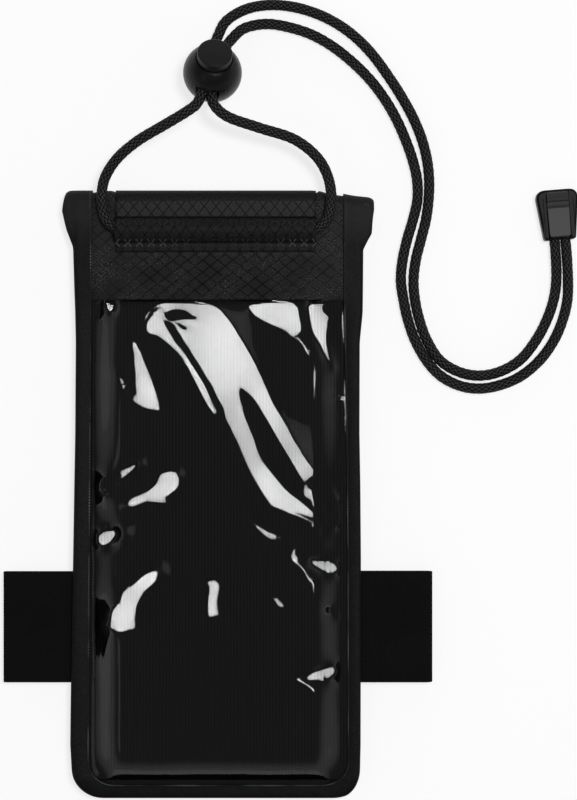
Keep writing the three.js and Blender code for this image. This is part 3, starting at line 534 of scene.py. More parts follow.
# Window film
# Clear soft film, welded flat under the binding and puffed out by the air inside. Where it has
# been pressed and pulled it leans a little in broad patches, and these mirror the lamp.
# Each patch is an outline in millimetres; between the patches the film relaxes by itself.
PATCHES = [
    [(-42.3, 66.7), (-39.6, 66.7), (-39.4, 64.7), (-39.5, 61.4), (-41.3, 59.3), (-41.9, 61.9),
     (-42.3, 64.7)],
    [(-38.4, 66.7), (-34.3, 66.7), (-34.6, 64.1), (-35.4, 62.2), (-36.8, 62.5), (-38.3, 63)],
    [(-24.6, 58.3), (-24.2, 60.8), (-22, 63.6), (-18.9, 65.3), (-14.4, 65.7), (-7.7, 65.2),
     (-2.1, 64.7), (1.3, 62.7), (4.6, 59.1), (7.1, 54.9), (10.2, 49.6), (13, 44.5), (15.8, 38.4),
     (18.5, 32.3), (22.5, 25.5), (27.5, 16), (33.1, 8.1), (37.6, 3.2), (40.2, -1.3), (41.3, -4.7),
     (41.6, -6.4), (41.5, -8.6), (40.4, -10.6), (38.1, -10.9), (33.7, -8.8), (28.6, -6.1),
     (23.6, -5), (18.5, -4.1), (15.8, -0.2), (12.5, 5.9), (9.6, 12.1), (6.8, 19.4), (4.6, 24.4),
     (1.3, 31.1), (-1.6, 36.7), (-4.4, 41.2), (-7.1, 45.6), (-10, 50.7), (-12.8, 54.6), (-15, 58.6),
     (-16.8, 62.2), (-18.9, 63.7), (-21.2, 63.3), (-23.1, 61.4), (-23.9, 58.9)],
    [(-23.5, 54.3), (-23.8, 56.9), (-23.1, 59.7), (-21.2, 61.1), (-19.5, 60.5), (-17.7, 58),
     (-15, 53.5), (-13.3, 50.7), (-10.5, 47.4), (-7.1, 42.3), (-4.4, 37.9), (-1.9, 31.7), (1, 26.6),
     (3.4, 20.8), (2.5, 20.5), (-0.5, 25.5), (-3.5, 31.1), (-6.3, 36.7), (-9.1, 41.8),
     (-12.2, 47.4), (-14.4, 49.9), (-17.2, 51.8), (-19.5, 53.8), (-21.7, 54.9)],
    [(-27.5, 52.4), (-26.7, 50.7), (-24.5, 45.6), (-22.8, 41.2), (-21.2, 36.7), (-19.5, 31.1),
     (-19.8, 29.1), (-23.9, 29.4), (-27.5, 31.1), (-31, 34.2), (-33.1, 38.2), (-34, 43.4),
     (-32.2, 39), (-29.7, 35.3), (-27.5, 33.6), (-26.6, 34.5), (-26.2, 39), (-27.2, 45.6)],
    [(10.2, 63.8), (11.9, 65.1), (18, 65.3), (26.1, 65.3), (27.2, 63), (28.3, 58), (28.6, 55.4),
     (24.7, 56.3), (18, 58), (13, 60.8), (10.8, 62.7)],
    [(30.5, 65.2), (42.1, 65.2), (42.3, 63), (39.3, 63.3), (37.9, 59.7), (37.3, 54.1), (37.5, 49.6),
     (38.7, 45.6), (39.8, 41.8), (36.6, 46.9), (34.3, 51.8), (32.3, 54.6), (31.8, 58),
     (30.9, 62.5)],
    [(-39.6, 3.1), (-39.3, 4.9), (-37.6, 5.7), (-33.6, 7.9), (-27.5, 11), (-26.9, 9.7),
     (-32.3, 5.8), (-36.2, 3), (-37.9, 0.5), (-39.1, 0.9)],
    [(-30.7, -2.8), (-29, -1), (-25, 0.4), (-21.2, 2.6), (-18.9, 5.9), (-16.1, 8.5), (-13.9, 8.1),
     (-12.8, 5.9), (-13.3, 2.6), (-15.5, 0.9), (-18.9, 0.1), (-23.4, -1.3), (-27.3, -3.3),
     (-29.6, -3.9)],
    [(39.9, 33.8), (41.6, 34.9), (42.1, 33.1), (40.9, 32.4)],
    [(-41.2, -14.6), (-40.1, -12.6), (-36.5, -11.8), (-34.1, -12.3), (-33.8, -13.7), (-35.9, -16),
     (-38.9, -17.2), (-40.8, -16.6)],
    [(-20.3, -25.3), (-19.9, -26.8), (-21.2, -29.9), (-24.3, -31.5), (-27.2, -36.1), (-27.7, -40.8),
     (-29.9, -45.1), (-32.2, -46.2), (-35.4, -45.2), (-37.4, -43.6), (-36.2, -42.4), (-35.7, -38.4),
     (-33.6, -36.7), (-31.1, -34.9), (-29, -31.5), (-26.1, -27.9), (-23.2, -25.9)],
    [(-2.6, -30.6), (-2, -28.8), (-0.6, -28.5), (1, -29.9), (0.8, -32.1), (0.1, -34.4), (0.1, -39),
     (-1.4, -40.8), (-2.9, -40.8), (-3.4, -38.4), (-2.9, -33.8)],
    [(31.5, -21.9), (34.9, -21.7), (39.6, -22.8), (41.8, -24.8), (40.2, -26.5), (36.1, -25.9),
     (32.6, -23.9)],
    [(37.8, -38.5), (40.2, -39.4), (41.7, -41.5), (39.6, -41.2)],
    [(29.8, -62), (32, -60), (35.5, -58.7), (39.6, -58.1), (40.8, -59.4), (39.6, -61.4),
     (35.5, -62.5), (31.5, -62.8)],
]
CLEAR_SPOTS = [
    [(-16.9, 62.4), (-14.2, 63.2), (-9.6, 61.6), (-5.9, 59.4), (-3.9, 56.5), (-4.6, 53.6),
     (-7.1, 53), (-11, 55.2), (-14.4, 58.3), (-16.2, 60.4)],
    [(-34.3, 46), (-32.2, 39.6), (-29.8, 36), (-27.9, 34.6), (-27.2, 38.5), (-27.8, 45.4),
     (-28.4, 52), (-32.5, 52)],
    [(20, -22.5), (30.6, -23.4), (30.6, -37), (20, -37)],
    [(1, 29.5), (6.2, 19.2), (9, 12), (12, 5.8), (15.2, -0.7), (18.2, -4.8), (23.6, -5.8),
     (28.6, -6.9), (33.5, -9.7), (36.5, -11.6), (33, -17), (25, -14), (16, -12), (9, -4), (4, 6),
     (0, 16), (-3, 26)],
    [(24.4, -62), (29, -63.2), (31.5, -64), (31.5, -70), (24.4, -70)],
    [(-34.4, -18), (-29.4, -18), (-29.4, -27.5), (-34.4, -33)],
    [(20.2, 53.2), (27.2, 53.8), (30, 50), (30, 44), (22, 44)],
    [(7.9, 36.7), (11.4, 34.5), (14.7, 29.5), (18, 23.9), (20.9, 18.9), (23.6, 14.3), (28.6, 5.9),
     (33.1, 0.9), (36.5, -3.6), (39.6, -7.2), (40.4, -9.1), (39.3, -9.7), (34.8, -7.2),
     (29.3, -3.3), (22.5, 2.1), (17.4, 8.8), (14.1, 13.2), (13, 17.7), (10.2, 23.9), (8.5, 28.9),
     (7.1, 33.9)],
]
FILM_GRID = 0.00045
FILM = 0.0004
FILM_END = 0.0697
Z_FRONT = Z_BACK + CLOTH
Z_FILM = Z_FRONT + FILM
Z_FILM_SHEET = Z_FRONT + FILM / 2
RIM = 0.0420
RIM_BOTTOM = -0.09695
RIM_COLUMNS = 4
RIM_WELD = 0.0004
WINDOW_TOP = 0.0662
PILLOW = 0.0076
SIDE_RAMP = 0.010
END_RAMP = 0.012
FALL_END = 0.08235
FALL = 0.0254
LEAN_HOLD = 1.0
LEAN_SWING = 0.024
REST_HOLD = 0.012
SPOT_HOLD = 0.2
RIM_GRIP = 50.0
AIR_GRIP = 60.0
TOUCH_GRIP = 1.0
TOUCH_ROUNDS = 3
BACK_GAP = 0.0002
RELAX_STEPS = 300


def pillow(x, y):
    """How high the air lifts the front of the pouch, without the film's own lean."""
    side = part_way(RIM - np.abs(x), 0, SIDE_RAMP)
    end = part_way(y, RIM_BOTTOM, END_RAMP)
    fall = part_way(y, FALL_END - FALL, FALL)
    ease = 0.4 * side * (2 - side) + 0.6 * side * side * (3 - 2 * side)
    return PILLOW * ease * (1 - (1 - end) ** 2) * 0.5 * (1 + np.cos(np.pi * fall))


def inside(outlines, x, y):
    """Which grid points lie in one of the closed outlines, whose corners are rounded off."""
    anywhere = np.zeros(x.shape, dtype=bool)
    for outline in outlines:
        points = np.array(outline) * MM
        for _ in range(2):
            after = np.roll(points, -1, axis=0)
            cut = [0.75 * points + 0.25 * after, 0.25 * points + 0.75 * after]
            points = np.stack(cut, axis=1).reshape(-1, 2)
        hit = np.zeros(x.shape, dtype=bool)
        for (x0, y0), (x1, y1) in zip(points, np.roll(points, -1, axis=0)):
            if y0 != y1:
                hit ^= ((y0 > y) != (y1 > y)) & (x < (x1 - x0) * (y - y0) / (y1 - y0) + x0)
        anywhere |= hit
    return anywhere


def mirror_slope(x, y, z):
    """The slope at which a point of the film shows the key softbox to someone above it."""
    place = np.stack([x, y, z], axis=-1)
    toward = []
    for target in (camera.location, KEY_PLACE):
        ray = np.array(target) - place
        toward.append(ray / np.linalg.norm(ray, axis=-1)[..., None])
    normal = toward[0] + toward[1]
    return -normal[..., 0] / normal[..., 2], -normal[..., 1] / normal[..., 2]


def settle(x, y, step, height):
    """Heights of the film over the pillow: the patches lean, and the rest settles between them."""
    base = pillow(x, y)
    want_x, want_y = mirror_slope(x, y, Z_FILM + base)
    base_x, base_y = np.gradient(base, step, axis=1), np.gradient(base, step, axis=0)
    clear = inside(CLEAR_SPOTS, x, y)
    leaning = inside(PATCHES, x, y) & ~clear
    swing_x = LEAN_SWING * np.sin(x / 0.0091 + 1.3 * np.sin(y / 0.017)) * np.sin(y / 0.0123 + 0.6)
    swing_y = LEAN_SWING * np.sin(y / 0.0107 + 1.1 * np.sin(x / 0.013)) * np.cos(x / 0.0079)
    hold = np.where(leaning, LEAN_HOLD, np.where(clear, SPOT_HOLD, REST_HOLD))
    goal_x = np.where(leaning, want_x + swing_x - base_x, 0)
    goal_y = np.where(leaning, want_y + swing_y - base_y, 0)
    edge_x, edge_y = (hold[:, 1:] + hold[:, :-1]) / 2, (hold[1:] + hold[:-1]) / 2
    pull_x = edge_x * (goal_x[:, 1:] + goal_x[:, :-1]) / 2 * step
    pull_y = edge_y * (goal_y[1:] + goal_y[:-1]) / 2 * step
    grip = np.full(x.shape, AIR_GRIP * step ** 2)
    grip[np.minimum(RIM - np.abs(x), y - RIM_BOTTOM) < RIM_WELD] = RIM_GRIP
    grip[y > WINDOW_TOP + RIM_WELD] = RIM_GRIP

    def spread_out(out, flow_x, flow_y):
        """Take each flow between neighbours from the one and give it to the other."""
        out[:, :-1] -= flow_x
        out[:, 1:] += flow_x
        out[:-1] -= flow_y
        out[1:] += flow_y
        return out

    def apply(h):
        return spread_out(grip * h, edge_x * np.diff(h, axis=1), edge_y * np.diff(h, axis=0))

    load = spread_out(np.zeros(x.shape), pull_x, pull_y)
    steps = round(RELAX_STEPS * step / FILM_GRID)
    for _ in range(TOUCH_ROUNDS):
        touching = height + base < BACK_GAP
        grip[touching] = TOUCH_GRIP
        level = grip * np.where(touching, BACK_GAP - base, 0)
        height = solve(apply, load + level, 1 / (grip + 4 * hold), height, steps)
    return height


def solve(apply, load, spread, height, steps):
    """Conjugate gradient steps towards the heights at which the film is at rest."""
    rest = load - apply(height)
    move = spread * rest
    direction = move.copy()
    energy = (rest * move).sum()
    for _ in range(steps):
        pushed = apply(direction)
        length = energy / (direction * pushed).sum()
        height = height + length * direction
        rest -= length * pushed
        move = spread * rest
        fresh = (rest * move).sum()
        direction = move + fresh / energy * direction
        energy = fresh
    return height


def relaxed_film():
    """The film's grid and heights, settled on coarse steps first and then on finer ones."""
    xs, ys, height = np.array([-RIM, RIM]), np.array([RIM_BOTTOM, WINDOW_TOP]), np.zeros((2, 2))
    for step in (8 * FILM_GRID, 4 * FILM_GRID, 2 * FILM_GRID, FILM_GRID):
        fine_xs = np.linspace(-RIM, RIM, round(2 * RIM / step) + 1)
        fine_ys = np.linspace(RIM_BOTTOM, FILM_END, round((FILM_END - RIM_BOTTOM) / step) + 1)
        along = np.array([np.interp(fine_xs, xs, row) for row in height])
        height = np.array([np.interp(fine_ys, ys, column) for column in along.T]).T
        xs, ys = fine_xs, fine_ys
        x, y = np.meshgrid(xs, ys)
        height = settle(x, y, xs[1] - xs[0], height)
    return xs, ys, np.maximum(height, -pillow(x, y))


def object_place(material):
    return add_node(material.node_tree, "ShaderNodeTexCoord").outputs["Object"]


def clear_film():
    """Clear where the film is seen straight on, and a mirror where the light glances off it."""
    material, tree, surface = empty_finish("clear_film")
    bend = relief(noise(object_place(material), 55.0, 1.0), 0.0004)
    gloss = add_node(tree, "ShaderNodeBsdfPrincipled", Base_Color=(1, 1, 1, 1), Metallic=1.0,
                     Roughness=0.03, Normal=bend)
    clear = add_node(tree, "ShaderNodeBsdfTransparent", Color=(0.97, 0.975, 0.975, 1))
    facing = add_node(tree, "ShaderNodeFresnel", IOR=1.37, Normal=bend)
    both = add_node(tree, "ShaderNodeMixShader", i0=facing.outputs[0], i1=clear.outputs[0],
                    i2=gloss.outputs[0])
    fill(surface, both.outputs[0])
    return material


def film_rows():
    """Rows of the film, flat in the welded rim and settled over the window."""
    xs, ys, lean = relaxed_film()
    rows = []
    for y, half in corner_rows():
        if y < RIM_BOTTOM:
            row = np.linspace(-half, half, len(xs) + 2 * RIM_COLUMNS)
            rows.append([(float(x), y, Z_FILM_SHEET) for x in row])
    for j, y in enumerate(ys):
        half = CLOTH_HALF
        if y < -POUCH_END + CORNER:
            drop = -POUCH_END + CORNER - y
            half = POUCH_HALF - CORNER + math.sqrt(max((CORNER - INSET) ** 2 - drop ** 2, 0))
        outer = np.linspace(half, RIM, RIM_COLUMNS + 1)[:-1]
        height = Z_FILM_SHEET + pillow(xs, y) + lean[j]
        row = [(-float(x), float(y), Z_FILM_SHEET) for x in outer]
        row += [(float(x), float(y), float(z)) for x, z in zip(xs, height)]
        row += [(float(x), float(y), Z_FILM_SHEET) for x in outer[::-1]]
        rows.append(row)
    return rows


film = sheet_piece("film_window", film_rows(), 0, clear_film())
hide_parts("window_film")

# Header
# Black coated ripstop above the window, welded into the rim on both sides. A grid of thicker
# yarns crosses it at a slant and is worn pale towards the sides.
HEADER_CELL = (0.0051, 0.0042)
Z_HEADER_BEHIND = 0.0010
LAYER_GAP = 0.0003
# Beside the cord sleeve the rolled header stands up a little: how far, from side to side.
BESIDE_SLEEVE = ([-42.5, -39.5, -36, -34.8, 33.6, 34.4, 38.5, 42], [0, 0.7, 0.7, 0, 0, 0.9, 0.3, 0])


def clamped(value, gain, shift, low=0.0):
    """The value times the gain plus the shift, kept between low and 1."""
    return arithmetic("MINIMUM", arithmetic("MAXIMUM", scaled(value, gain, shift), low), 1.0)


def absolute(value):
    return arithmetic("ABSOLUTE", value)


def slanted_grid(u, v, cell, width):
    """The two sets of slanted yarns of a diamond grid, each 1 on a yarn and 0 off it."""
    across_cells, along_cells = arithmetic("DIVIDE", u, cell[0]), arithmetic("DIVIDE", v, cell[1])
    lines = []
    for combine in (plus, minus):
        part = arithmetic("FRACT", combine(across_cells, along_cells))
        off = absolute(minus(part, 0.5))
        lines.append(clamped(off, 1.7 / width, 1.7 - 0.85 / width))
    return lines


def speckle(uv, scale, dark, light):
    """Fine uneven grain of a coated cloth."""
    return blend_colours(clamped(noise(uv, scale, 3.0), 3.6, -1.3), dark, light)


def ripstop():
    material, shader = new_finish("ripstop", 0.55, Specular_IOR_Level=0.12)
    uv, u, v = uv_axes(material)
    rising, falling = slanted_grid(u, v, HEADER_CELL, 0.085)
    pale_rising, pale_falling = slanted_grid(plus(u, 0.00034), v, HEADER_CELL, 0.045)
    patchy = clamped(noise(uv, 110.0), 3.2, -1.1)
    toward_side = clamped(absolute(u), 36.0, -0.62)
    dots = clamped(noise(uv, 2000.0, 1.0), 7.0, -3.4)
    pale = arithmetic("MULTIPLY_ADD", toward_side, dots, 0.16)
    worn = times(arithmetic("MAXIMUM", pale_rising, times(pale_falling, toward_side)), pale)
    yarns = arithmetic("MAXIMUM", rising, falling)
    specks = clamped(noise(uv, 2600.0, 1.0), 12.0, -7.0)
    shade = speckle(uv, 3000.0, (0.0125, 0.0125, 0.0128), (0.0235, 0.0235, 0.024))
    shade = blend_colours(times(worn, patchy), shade, grey(0.17))
    shade = blend_colours(times(yarns, scaled(toward_side, -0.55, 0.95)), shade, grey(0.0006))
    shade = blend_colours(times(specks, patchy), shade, grey(0.12))
    weave = noise(uv, 3200.0, 1.0)
    height = arithmetic("MULTIPLY_ADD", weave, 0.3, times(yarns, -1.0))
    give_skin(shader, shade, height, 0.00012)
    return material


across = np.linspace(-1, 1, 97)
front = [*np.linspace(WINDOW_TOP, FALL_END, 24), *np.linspace(FALL_END, BINDING_TOP, 14)[1:],
         FOLD_FRONT]
flap = np.linspace(FOLD_BEHIND, FLAP_END, 14)
rows = []
for y, z, turned in fold_profile(front, Z_FILM, Z_HEADER_BEHIND, LAYER_GAP, flap):
    x = across * CLOTH_HALF
    lift = pillow(x, y) if turned < 0 else np.zeros(len(x))
    height = z + lift + np.minimum(lift, LAYER_GAP)
    puff = from_table(BESIDE_SLEEVE, x) * part_way(y, 0.094, 0.004)
    rows.append(list(zip(x + edge_drift(x, y), y + puff + top_drift(x, y), height)))
header = sheet_piece("header_cloth", rows, CLOTH, ripstop(), front_rows=len(front))
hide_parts("header_panel")

# Edge binding
# A coated tape folded round both sides and the bottom and welded down along a dotted bead. At
# the top it goes over the roll with the cloth and widens into the ears.
TAPE = 0.0004
TAPE_MIDDLE = 0.0063
TAPE_SPREAD = 0.0012
WELD_PINCH = 0.00045
WELD_BEAD = 0.00012
SEAM_FROM_EDGE = 0.00035
SEAM_PITCH = 0.0010
EAR_END = 0.0846
EAR_FOOT = 0.082
EAR_STEP = 0.0004
EAR_RADIUS = 0.00155
EAR_SWELL = 0.0022
EAR_MIDDLE = 0.00355
INNER_CORNER = 0.008
BOTTOM_LEG = 0.0047


def below(value, limit):
    return arithmetic("LESS_THAN", value, limit)


def tape_cloth():
    """Coated tape, with its weld bead where the flat coordinate reaches the inner edge."""
    material, shader = new_finish("tape_cloth", 0.55, Specular_IOR_Level=0.12)
    uv, u, v = uv_axes(material)
    place = object_place(material)
    upward = add_node(material.node_tree, "ShaderNodeSeparateXYZ", Vector=place).outputs["Y"]
    # Painted light by height on the pouch: a painted highlight lightens the ears at the rolled top,
    # and a painted shade darkens the tape along the bottom edge.
    ear, painted_foot_shade = clamped(upward, 110.0, -9.4), clamped(upward, -600.0, -57.5)
    pucker = noise(uv, 240.0, 3.0)
    shade = speckle(uv, 1400.0, (0.0042, 0.0042, 0.0044), (0.0125, 0.0125, 0.013))
    shade = blend_colours(times(pucker, 0.5), shade, grey(0.004))
    shade = blend_colours(times(ear, 0.85), shade, (0.021, 0.021, 0.0215))
    shade = blend_colours(times(painted_foot_shade, 0.8), shade, grey(0.001))
    seam = below(absolute(minus(u, BINDING_LEG - SEAM_FROM_EDGE)), 0.00022)
    beat = below(arithmetic("FRACT", arithmetic("DIVIDE", v, SEAM_PITCH)), 0.62)
    dots = times(seam, times(beat, clamped(noise(uv, 60.0, 4.0), 5.0, -2.3, low=0.05)))
    shade = blend_colours(dots, shade, grey(0.15))
    height = plus(plus(pucker, times(noise(uv, 2400.0), 0.3)), times(dots, 0.6))
    give_skin(shader, shade, height, 0.0003)
    return material


def tape_section():
    """The folded tape as (share of the leg, layer): the front leg, the turn and the back leg."""
    turn = TAPE_SPREAD / BINDING_LEG
    front = [(share, 1.0) for share in (1.0, 0.975, 0.94, 0.9, 0.84, 0.74, 0.6, 0.45, 0.3)]
    bend = [(turn - turn * math.sin(a), math.cos(a)) for a in np.linspace(0, math.pi, 9)]
    return front + bend + [(share, -1.0) for share in (0.35, 0.55, 0.75, 0.9, 1.0)]


def tape_height(share, layer, pinch):
    """Height of a point of the tape; the front leg is pinched down onto the film at its edge."""
    z = TAPE_MIDDLE + TAPE_SPREAD * layer
    if layer > 0.99:
        z -= WELD_PINCH * pinch * part_way(share, 0.3, 0.6) ** 2
        z += WELD_BEAD * math.exp(-((share - 0.95) / 0.03) ** 2)
    return z


def tape_row(outer, inner, pinch):
    """Points of the folded tape between the rim of the pouch and the weld at its inner edge."""
    row = []
    for share, layer in tape_section():
        x = outer[0] + (inner[0] - outer[0]) * share
        y = outer[1] + (inner[1] - outer[1]) * share
        row.append((x + float(edge_drift(x, y)), y, tape_height(share, layer, pinch)))
    return row


def ear_rows(side):
    """Rows of the tape from the end of the ear behind, over the roll and down beside the header."""
    stations = [(y, math.pi) for y in np.linspace(EAR_END, FOLD_Y, 12)[:-1]]
    stations += [(FOLD_Y, angle) for angle in np.linspace(math.pi, 0, 15)]
    stations += [(y, 0.0) for y in np.linspace(FOLD_Y, EAR_FOOT, 26)[1:]]
    rows = []
    for y, angle in stations:
        row = []
        for share, layer in tape_section():
            level = (layer + 1) / 2
            radius = EAR_RADIUS + EAR_SWELL * level
            out = y + 0.0006 * level * math.sin(angle) + radius * math.sin(angle)
            z = EAR_MIDDLE + 0.0002 * level + radius * math.cos(angle)
            if angle == 0:
                z = tape_height(share, layer, 0)
            x = side * (POUCH_HALF - share * BINDING_LEG)
            x += float(edge_drift(x, out))
            if out > 0.084:
                z -= layer * EAR_STEP * part_way(abs(x), POUCH_HALF, 0.0005)
            row.append((x, out + float(top_drift(x, out)), z))
        rows.append(row)
    return rows


def straight_rows(side):
    """Rows down one side; the inner edge starts its wider corner a little earlier."""
    rows = []
    for y in np.linspace(EAR_FOOT, -POUCH_END + CORNER, 110)[1:-1]:
        into_corner = part_way(-y, 0.085, POUCH_END - CORNER - 0.085)
        early = (INNER_CORNER + BINDING_LEG - CORNER) * into_corner
        outer, inner = (side * POUCH_HALF, y), (side * (POUCH_HALF - BINDING_LEG), y + early)
        rows.append(tape_row(outer, inner, part_way(0.066 - y, 0, 0.004)))
    return rows


def bottom_rows():
    """Rows of the tape round both bottom corners and along the bottom."""
    turn_x, turn_y = POUCH_HALF - CORNER, -POUCH_END + CORNER
    inner_x = POUCH_HALF - BINDING_LEG - INNER_CORNER
    inner_y = -POUCH_END + BOTTOM_LEG + INNER_CORNER
    rows = []
    for side in (-1, 1):
        turns = np.linspace(0, math.pi / 2, 17)
        for angle in (turns if side < 0 else turns[::-1]):
            nx, ny = math.cos(angle), math.sin(angle)
            outer = (side * (turn_x + CORNER * nx), turn_y - CORNER * ny)
            inner = (side * (inner_x + INNER_CORNER * nx), inner_y - INNER_CORNER * ny)
            rows.append(tape_row(outer, inner, 1.0))
        if side < 0:
            for share in np.linspace(-1, 1, 50)[1:-1]:
                outer = (share * turn_x, -POUCH_END)
                inner = (share * inner_x, -POUCH_END + BOTTOM_LEG)
                rows.append(tape_row(outer, inner, 1.0))
    return rows


left, right = ear_rows(-1) + straight_rows(-1), ear_rows(1) + straight_rows(1)
rows = np.array(left + bottom_rows() + right[::-1])
across = np.array([math.copysign(share * BINDING_LEG, layer) for share, layer in tape_section()])
binding = sheet_piece("rim_binding", rows, TAPE, tape_cloth(),
                      flat=laid_flat(across, run_along(rows[:, 6])))
binding.modifiers["thickness"].offset = -1
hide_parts("edge_binding")

# Cord sleeve
# A strip of the header cloth, welded over the rolled top and down the back. Its front edge is
# welded along two lines, and the lanyard runs through the tunnel between them.
SLEEVE_LEFT, SLEEVE_RIGHT = -0.03485, 0.03345
SLEEVE_FRONT = 0.08265
SLEEVE_BACK = 0.07735
SLEEVE_FOLD = 0.0985
SLEEVE_LIFT = 0.0002
Z_HEADER = Z_FILM + CLOTH
TUNNEL_Y = 0.09015
TUNNEL_HALF = 0.0039
TUNNEL_RISE = 0.0042
SLEEVE_CELL = (0.0040, 0.0049)
SMOOTH_BAND = 0.1000
WELD_TOP = 0.0945
MARK_ROW = 0.0859
MARK_SHIFT = 0.00146
FAINT_ROW = 0.0921


def between(value, low, high):
    """1 where the value lies between low and high, and 0 elsewhere."""
    return times(arithmetic("GREATER_THAN", value, low), below(value, high))


def sleeve_cloth():
    material, shader = new_finish("sleeve_cloth", 0.55, Specular_IOR_Level=0.12)
    uv, u, v = uv_axes(material)
    yarns = slanted_grid(minus(u, MARK_SHIFT), minus(v, MARK_ROW), SLEEVE_CELL, 0.055)
    groove = times(below(v, SMOOTH_BAND), arithmetic("MAXIMUM", *yarns))
    patchy = noise(uv, 90.0)
    plain = speckle(uv, 1500.0, (0.0075, 0.0075, 0.0077), (0.019, 0.019, 0.0195))
    pale = speckle(uv, 1500.0, (0.024, 0.024, 0.0245), (0.038, 0.038, 0.039))
    shade = blend_colours(between(v, WELD_TOP, SMOOTH_BAND), plain, pale)
    shade = blend_colours(times(groove, 0.9), shade, grey(0.003))
    for row, reach, strength in ((MARK_ROW, 0.0014, 2.2), (FAINT_ROW, 0.0008, 0.8)):
        near = below(absolute(minus(v, row)), reach)
        side = arithmetic("MINIMUM", scaled(absolute(u), 24.0, 0.12), 1.0)
        mark = times(times(near, times(groove, side)), times(patchy, strength))
        shade = blend_colours(mark, shade, grey(0.16))
    weld = between(v, TUNNEL_Y + TUNNEL_HALF - 0.0004, WELD_TOP)
    shade = blend_colours(times(weld, 0.8), shade, grey(0.003))
    height = minus(minus(times(noise(uv, 3000.0, 1.0), 0.3), groove), times(weld, 3.0))
    give_skin(shader, shade, height, 0.00012)
    return material


front = [(y, Z_HEADER) for y in np.linspace(SLEEVE_FRONT, TUNNEL_Y - TUNNEL_HALF, 5)[:-1]]
front += [(TUNNEL_Y - TUNNEL_HALF * math.cos(t), Z_HEADER + TUNNEL_RISE * math.sin(t))
          for t in np.linspace(0, math.pi, 21)]
front += [(y, Z_HEADER) for y in np.linspace(TUNNEL_Y + TUNNEL_HALF, SLEEVE_FOLD, 6)[1:]]
flap = np.linspace(FOLD_BEHIND, SLEEVE_BACK, 8)
turned = fold_profile([], Z_HEADER, LAYER_GAP + SLEEVE_LIFT, 2 * LAYER_GAP, flap)
across = np.linspace(SLEEVE_LEFT, SLEEVE_RIGHT, 60)
rows = [[(x, y + float(top_drift(x, y)), z) for x in across]
        for y, z in front + [point[:2] for point in turned]]
cord_sleeve = sheet_piece("cord_sleeve_cloth", rows, CLOTH, sleeve_cloth(),
                          front_rows=len(front))
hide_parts("cord_sleeve")

# Rolled closure
# A hook strip and a loop strip, woven tapes with a field of pile, hold the rolled top down
# behind the pouch. The armband has a hook patch of the same make.
PILE_PITCH = 0.0013
PILE_HEIGHT = 0.0006
PILE_BORDER = 0.0008
CLOSURE_AREA = (-0.039, 0.039, 0.06635, 0.08235)
PILE_MIDDLE = 0.0035
PATCH_AREA = (-0.028, 0.018, -0.0617, -0.0277)


def pile_finish():
    material, shader = new_finish("hook_pile", 0.8, Sheen_Weight=0.3)
    fibre = noise(object_place(material), 2200.0, 3.0)
    give_skin(shader, blend_colours(fibre, grey(0.0025), grey(0.022)), fibre, 0.0004)
    return material


def even_places(start, end):
    step = (end - start) / round((end - start) / (PILE_PITCH / 2))
    return np.arange(start, end + PILE_PITCH / 4, step)


def pile_tape(name, node, area, z_base, z_tips):
    """A tape with a woven border and rows of short pile that stand from z_base to z_tips."""
    x0, x1, y0, y1 = area
    xs, ys = even_places(x0, x1), even_places(y0, y1)
    x, y = np.meshgrid(xs, ys)
    toward = 1 if z_tips > z_base else -1
    edge = np.minimum(np.minimum(x - x0, x1 - x), np.minimum(y - y0, y1 - y))
    column, line = np.meshgrid(np.arange(len(xs)), np.arange(len(ys)))
    tuft = ((column % 2 == 1) & (line % 2 == 1)) * part_way(edge, PILE_BORDER, PILE_HEIGHT)
    skin = z_tips - toward * PILE_HEIGHT * (1 - tuft)
    count = x.size
    levels = skin, np.full(x.shape, z_base)
    vertices = np.concatenate([np.stack([x, y, z], -1).reshape(-1, 3) for z in levels])
    index = np.arange(count).reshape(x.shape)
    quads = grid_faces(index)
    rim = np.concatenate([index[0, :-1], index[:-1, -1], index[-1, :0:-1], index[:0:-1, 0]])
    ahead = np.roll(rim, -1)
    walls = np.stack([rim, rim + count, ahead + count, ahead], -1)
    faces = np.concatenate([quads, quads[:, ::-1] + count, walls])
    if toward < 0:
        faces = faces[:, ::-1]
    piece = new_piece(name, vertices, faces.tolist(), smooth=False)
    dress(piece, pile_finish())
    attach(piece, "pouch")
    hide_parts(node)
    return piece


hook_strip = pile_tape("closure_hook_tape", "closure_hook_strip", CLOSURE_AREA, 0.0015, PILE_MIDDLE)
loop_strip = pile_tape("closure_loop_tape", "closure_loop_strip", CLOSURE_AREA, 0.0056, PILE_MIDDLE)
hook_patch = pile_tape("armband_hook_tape", "armband_hook_patch", PATCH_AREA, 0.0013, 0.0020)

# Press seal
# Two moulded tracks inside the mouth, a bead and the lips that grip it, smooth and a little
# shiny, with a fine even grain in colour and skin.
SHARP_EDGE = math.radians(35.0)


def moulded(name, dark, light, roughness, **constants):
    """A moulded plastic or drawn wire whose colour and skin vary a little all over."""
    material, shader = new_finish(name, roughness, **constants)
    place = object_place(material)
    cloud, skin = noise(place, 1400.0 / 12, 3.0), noise(place, 1400.0, 3.0)
    give_skin(shader, blend_colours(cloud, dark, light), skin, 0.00003)
    return material


def dress_node(node, material, bevel=0.0):
    """Smooth the shading of a solid of the frame, round its edges and give it its finish."""
    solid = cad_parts[node]
    solid.data.polygons.foreach_set("use_smooth", [True] * len(solid.data.polygons))
    solid.data.set_sharp_from_angle(angle=SHARP_EDGE)
    if bevel:
        rounding = solid.modifiers.new("rounding", "BEVEL")
        rounding.width = bevel
        rounding.segments = 3
        rounding.limit_method = "ANGLE"
        rounding.angle_limit = SHARP_EDGE
        rounding.harden_normals = False
    for k in range(max(len(solid.material_slots), 1)):
        if k >= len(solid.material_slots):
            solid.data.materials.append(material)
        solid.material_slots[k].material = material


seal_finish = moulded("seal_plastic", (0.018, 0.019, 0.02), (0.03, 0.031, 0.033), 0.35)
for track in ("seal_track_back", "seal_track_front"):
    dress_node(track, seal_finish)

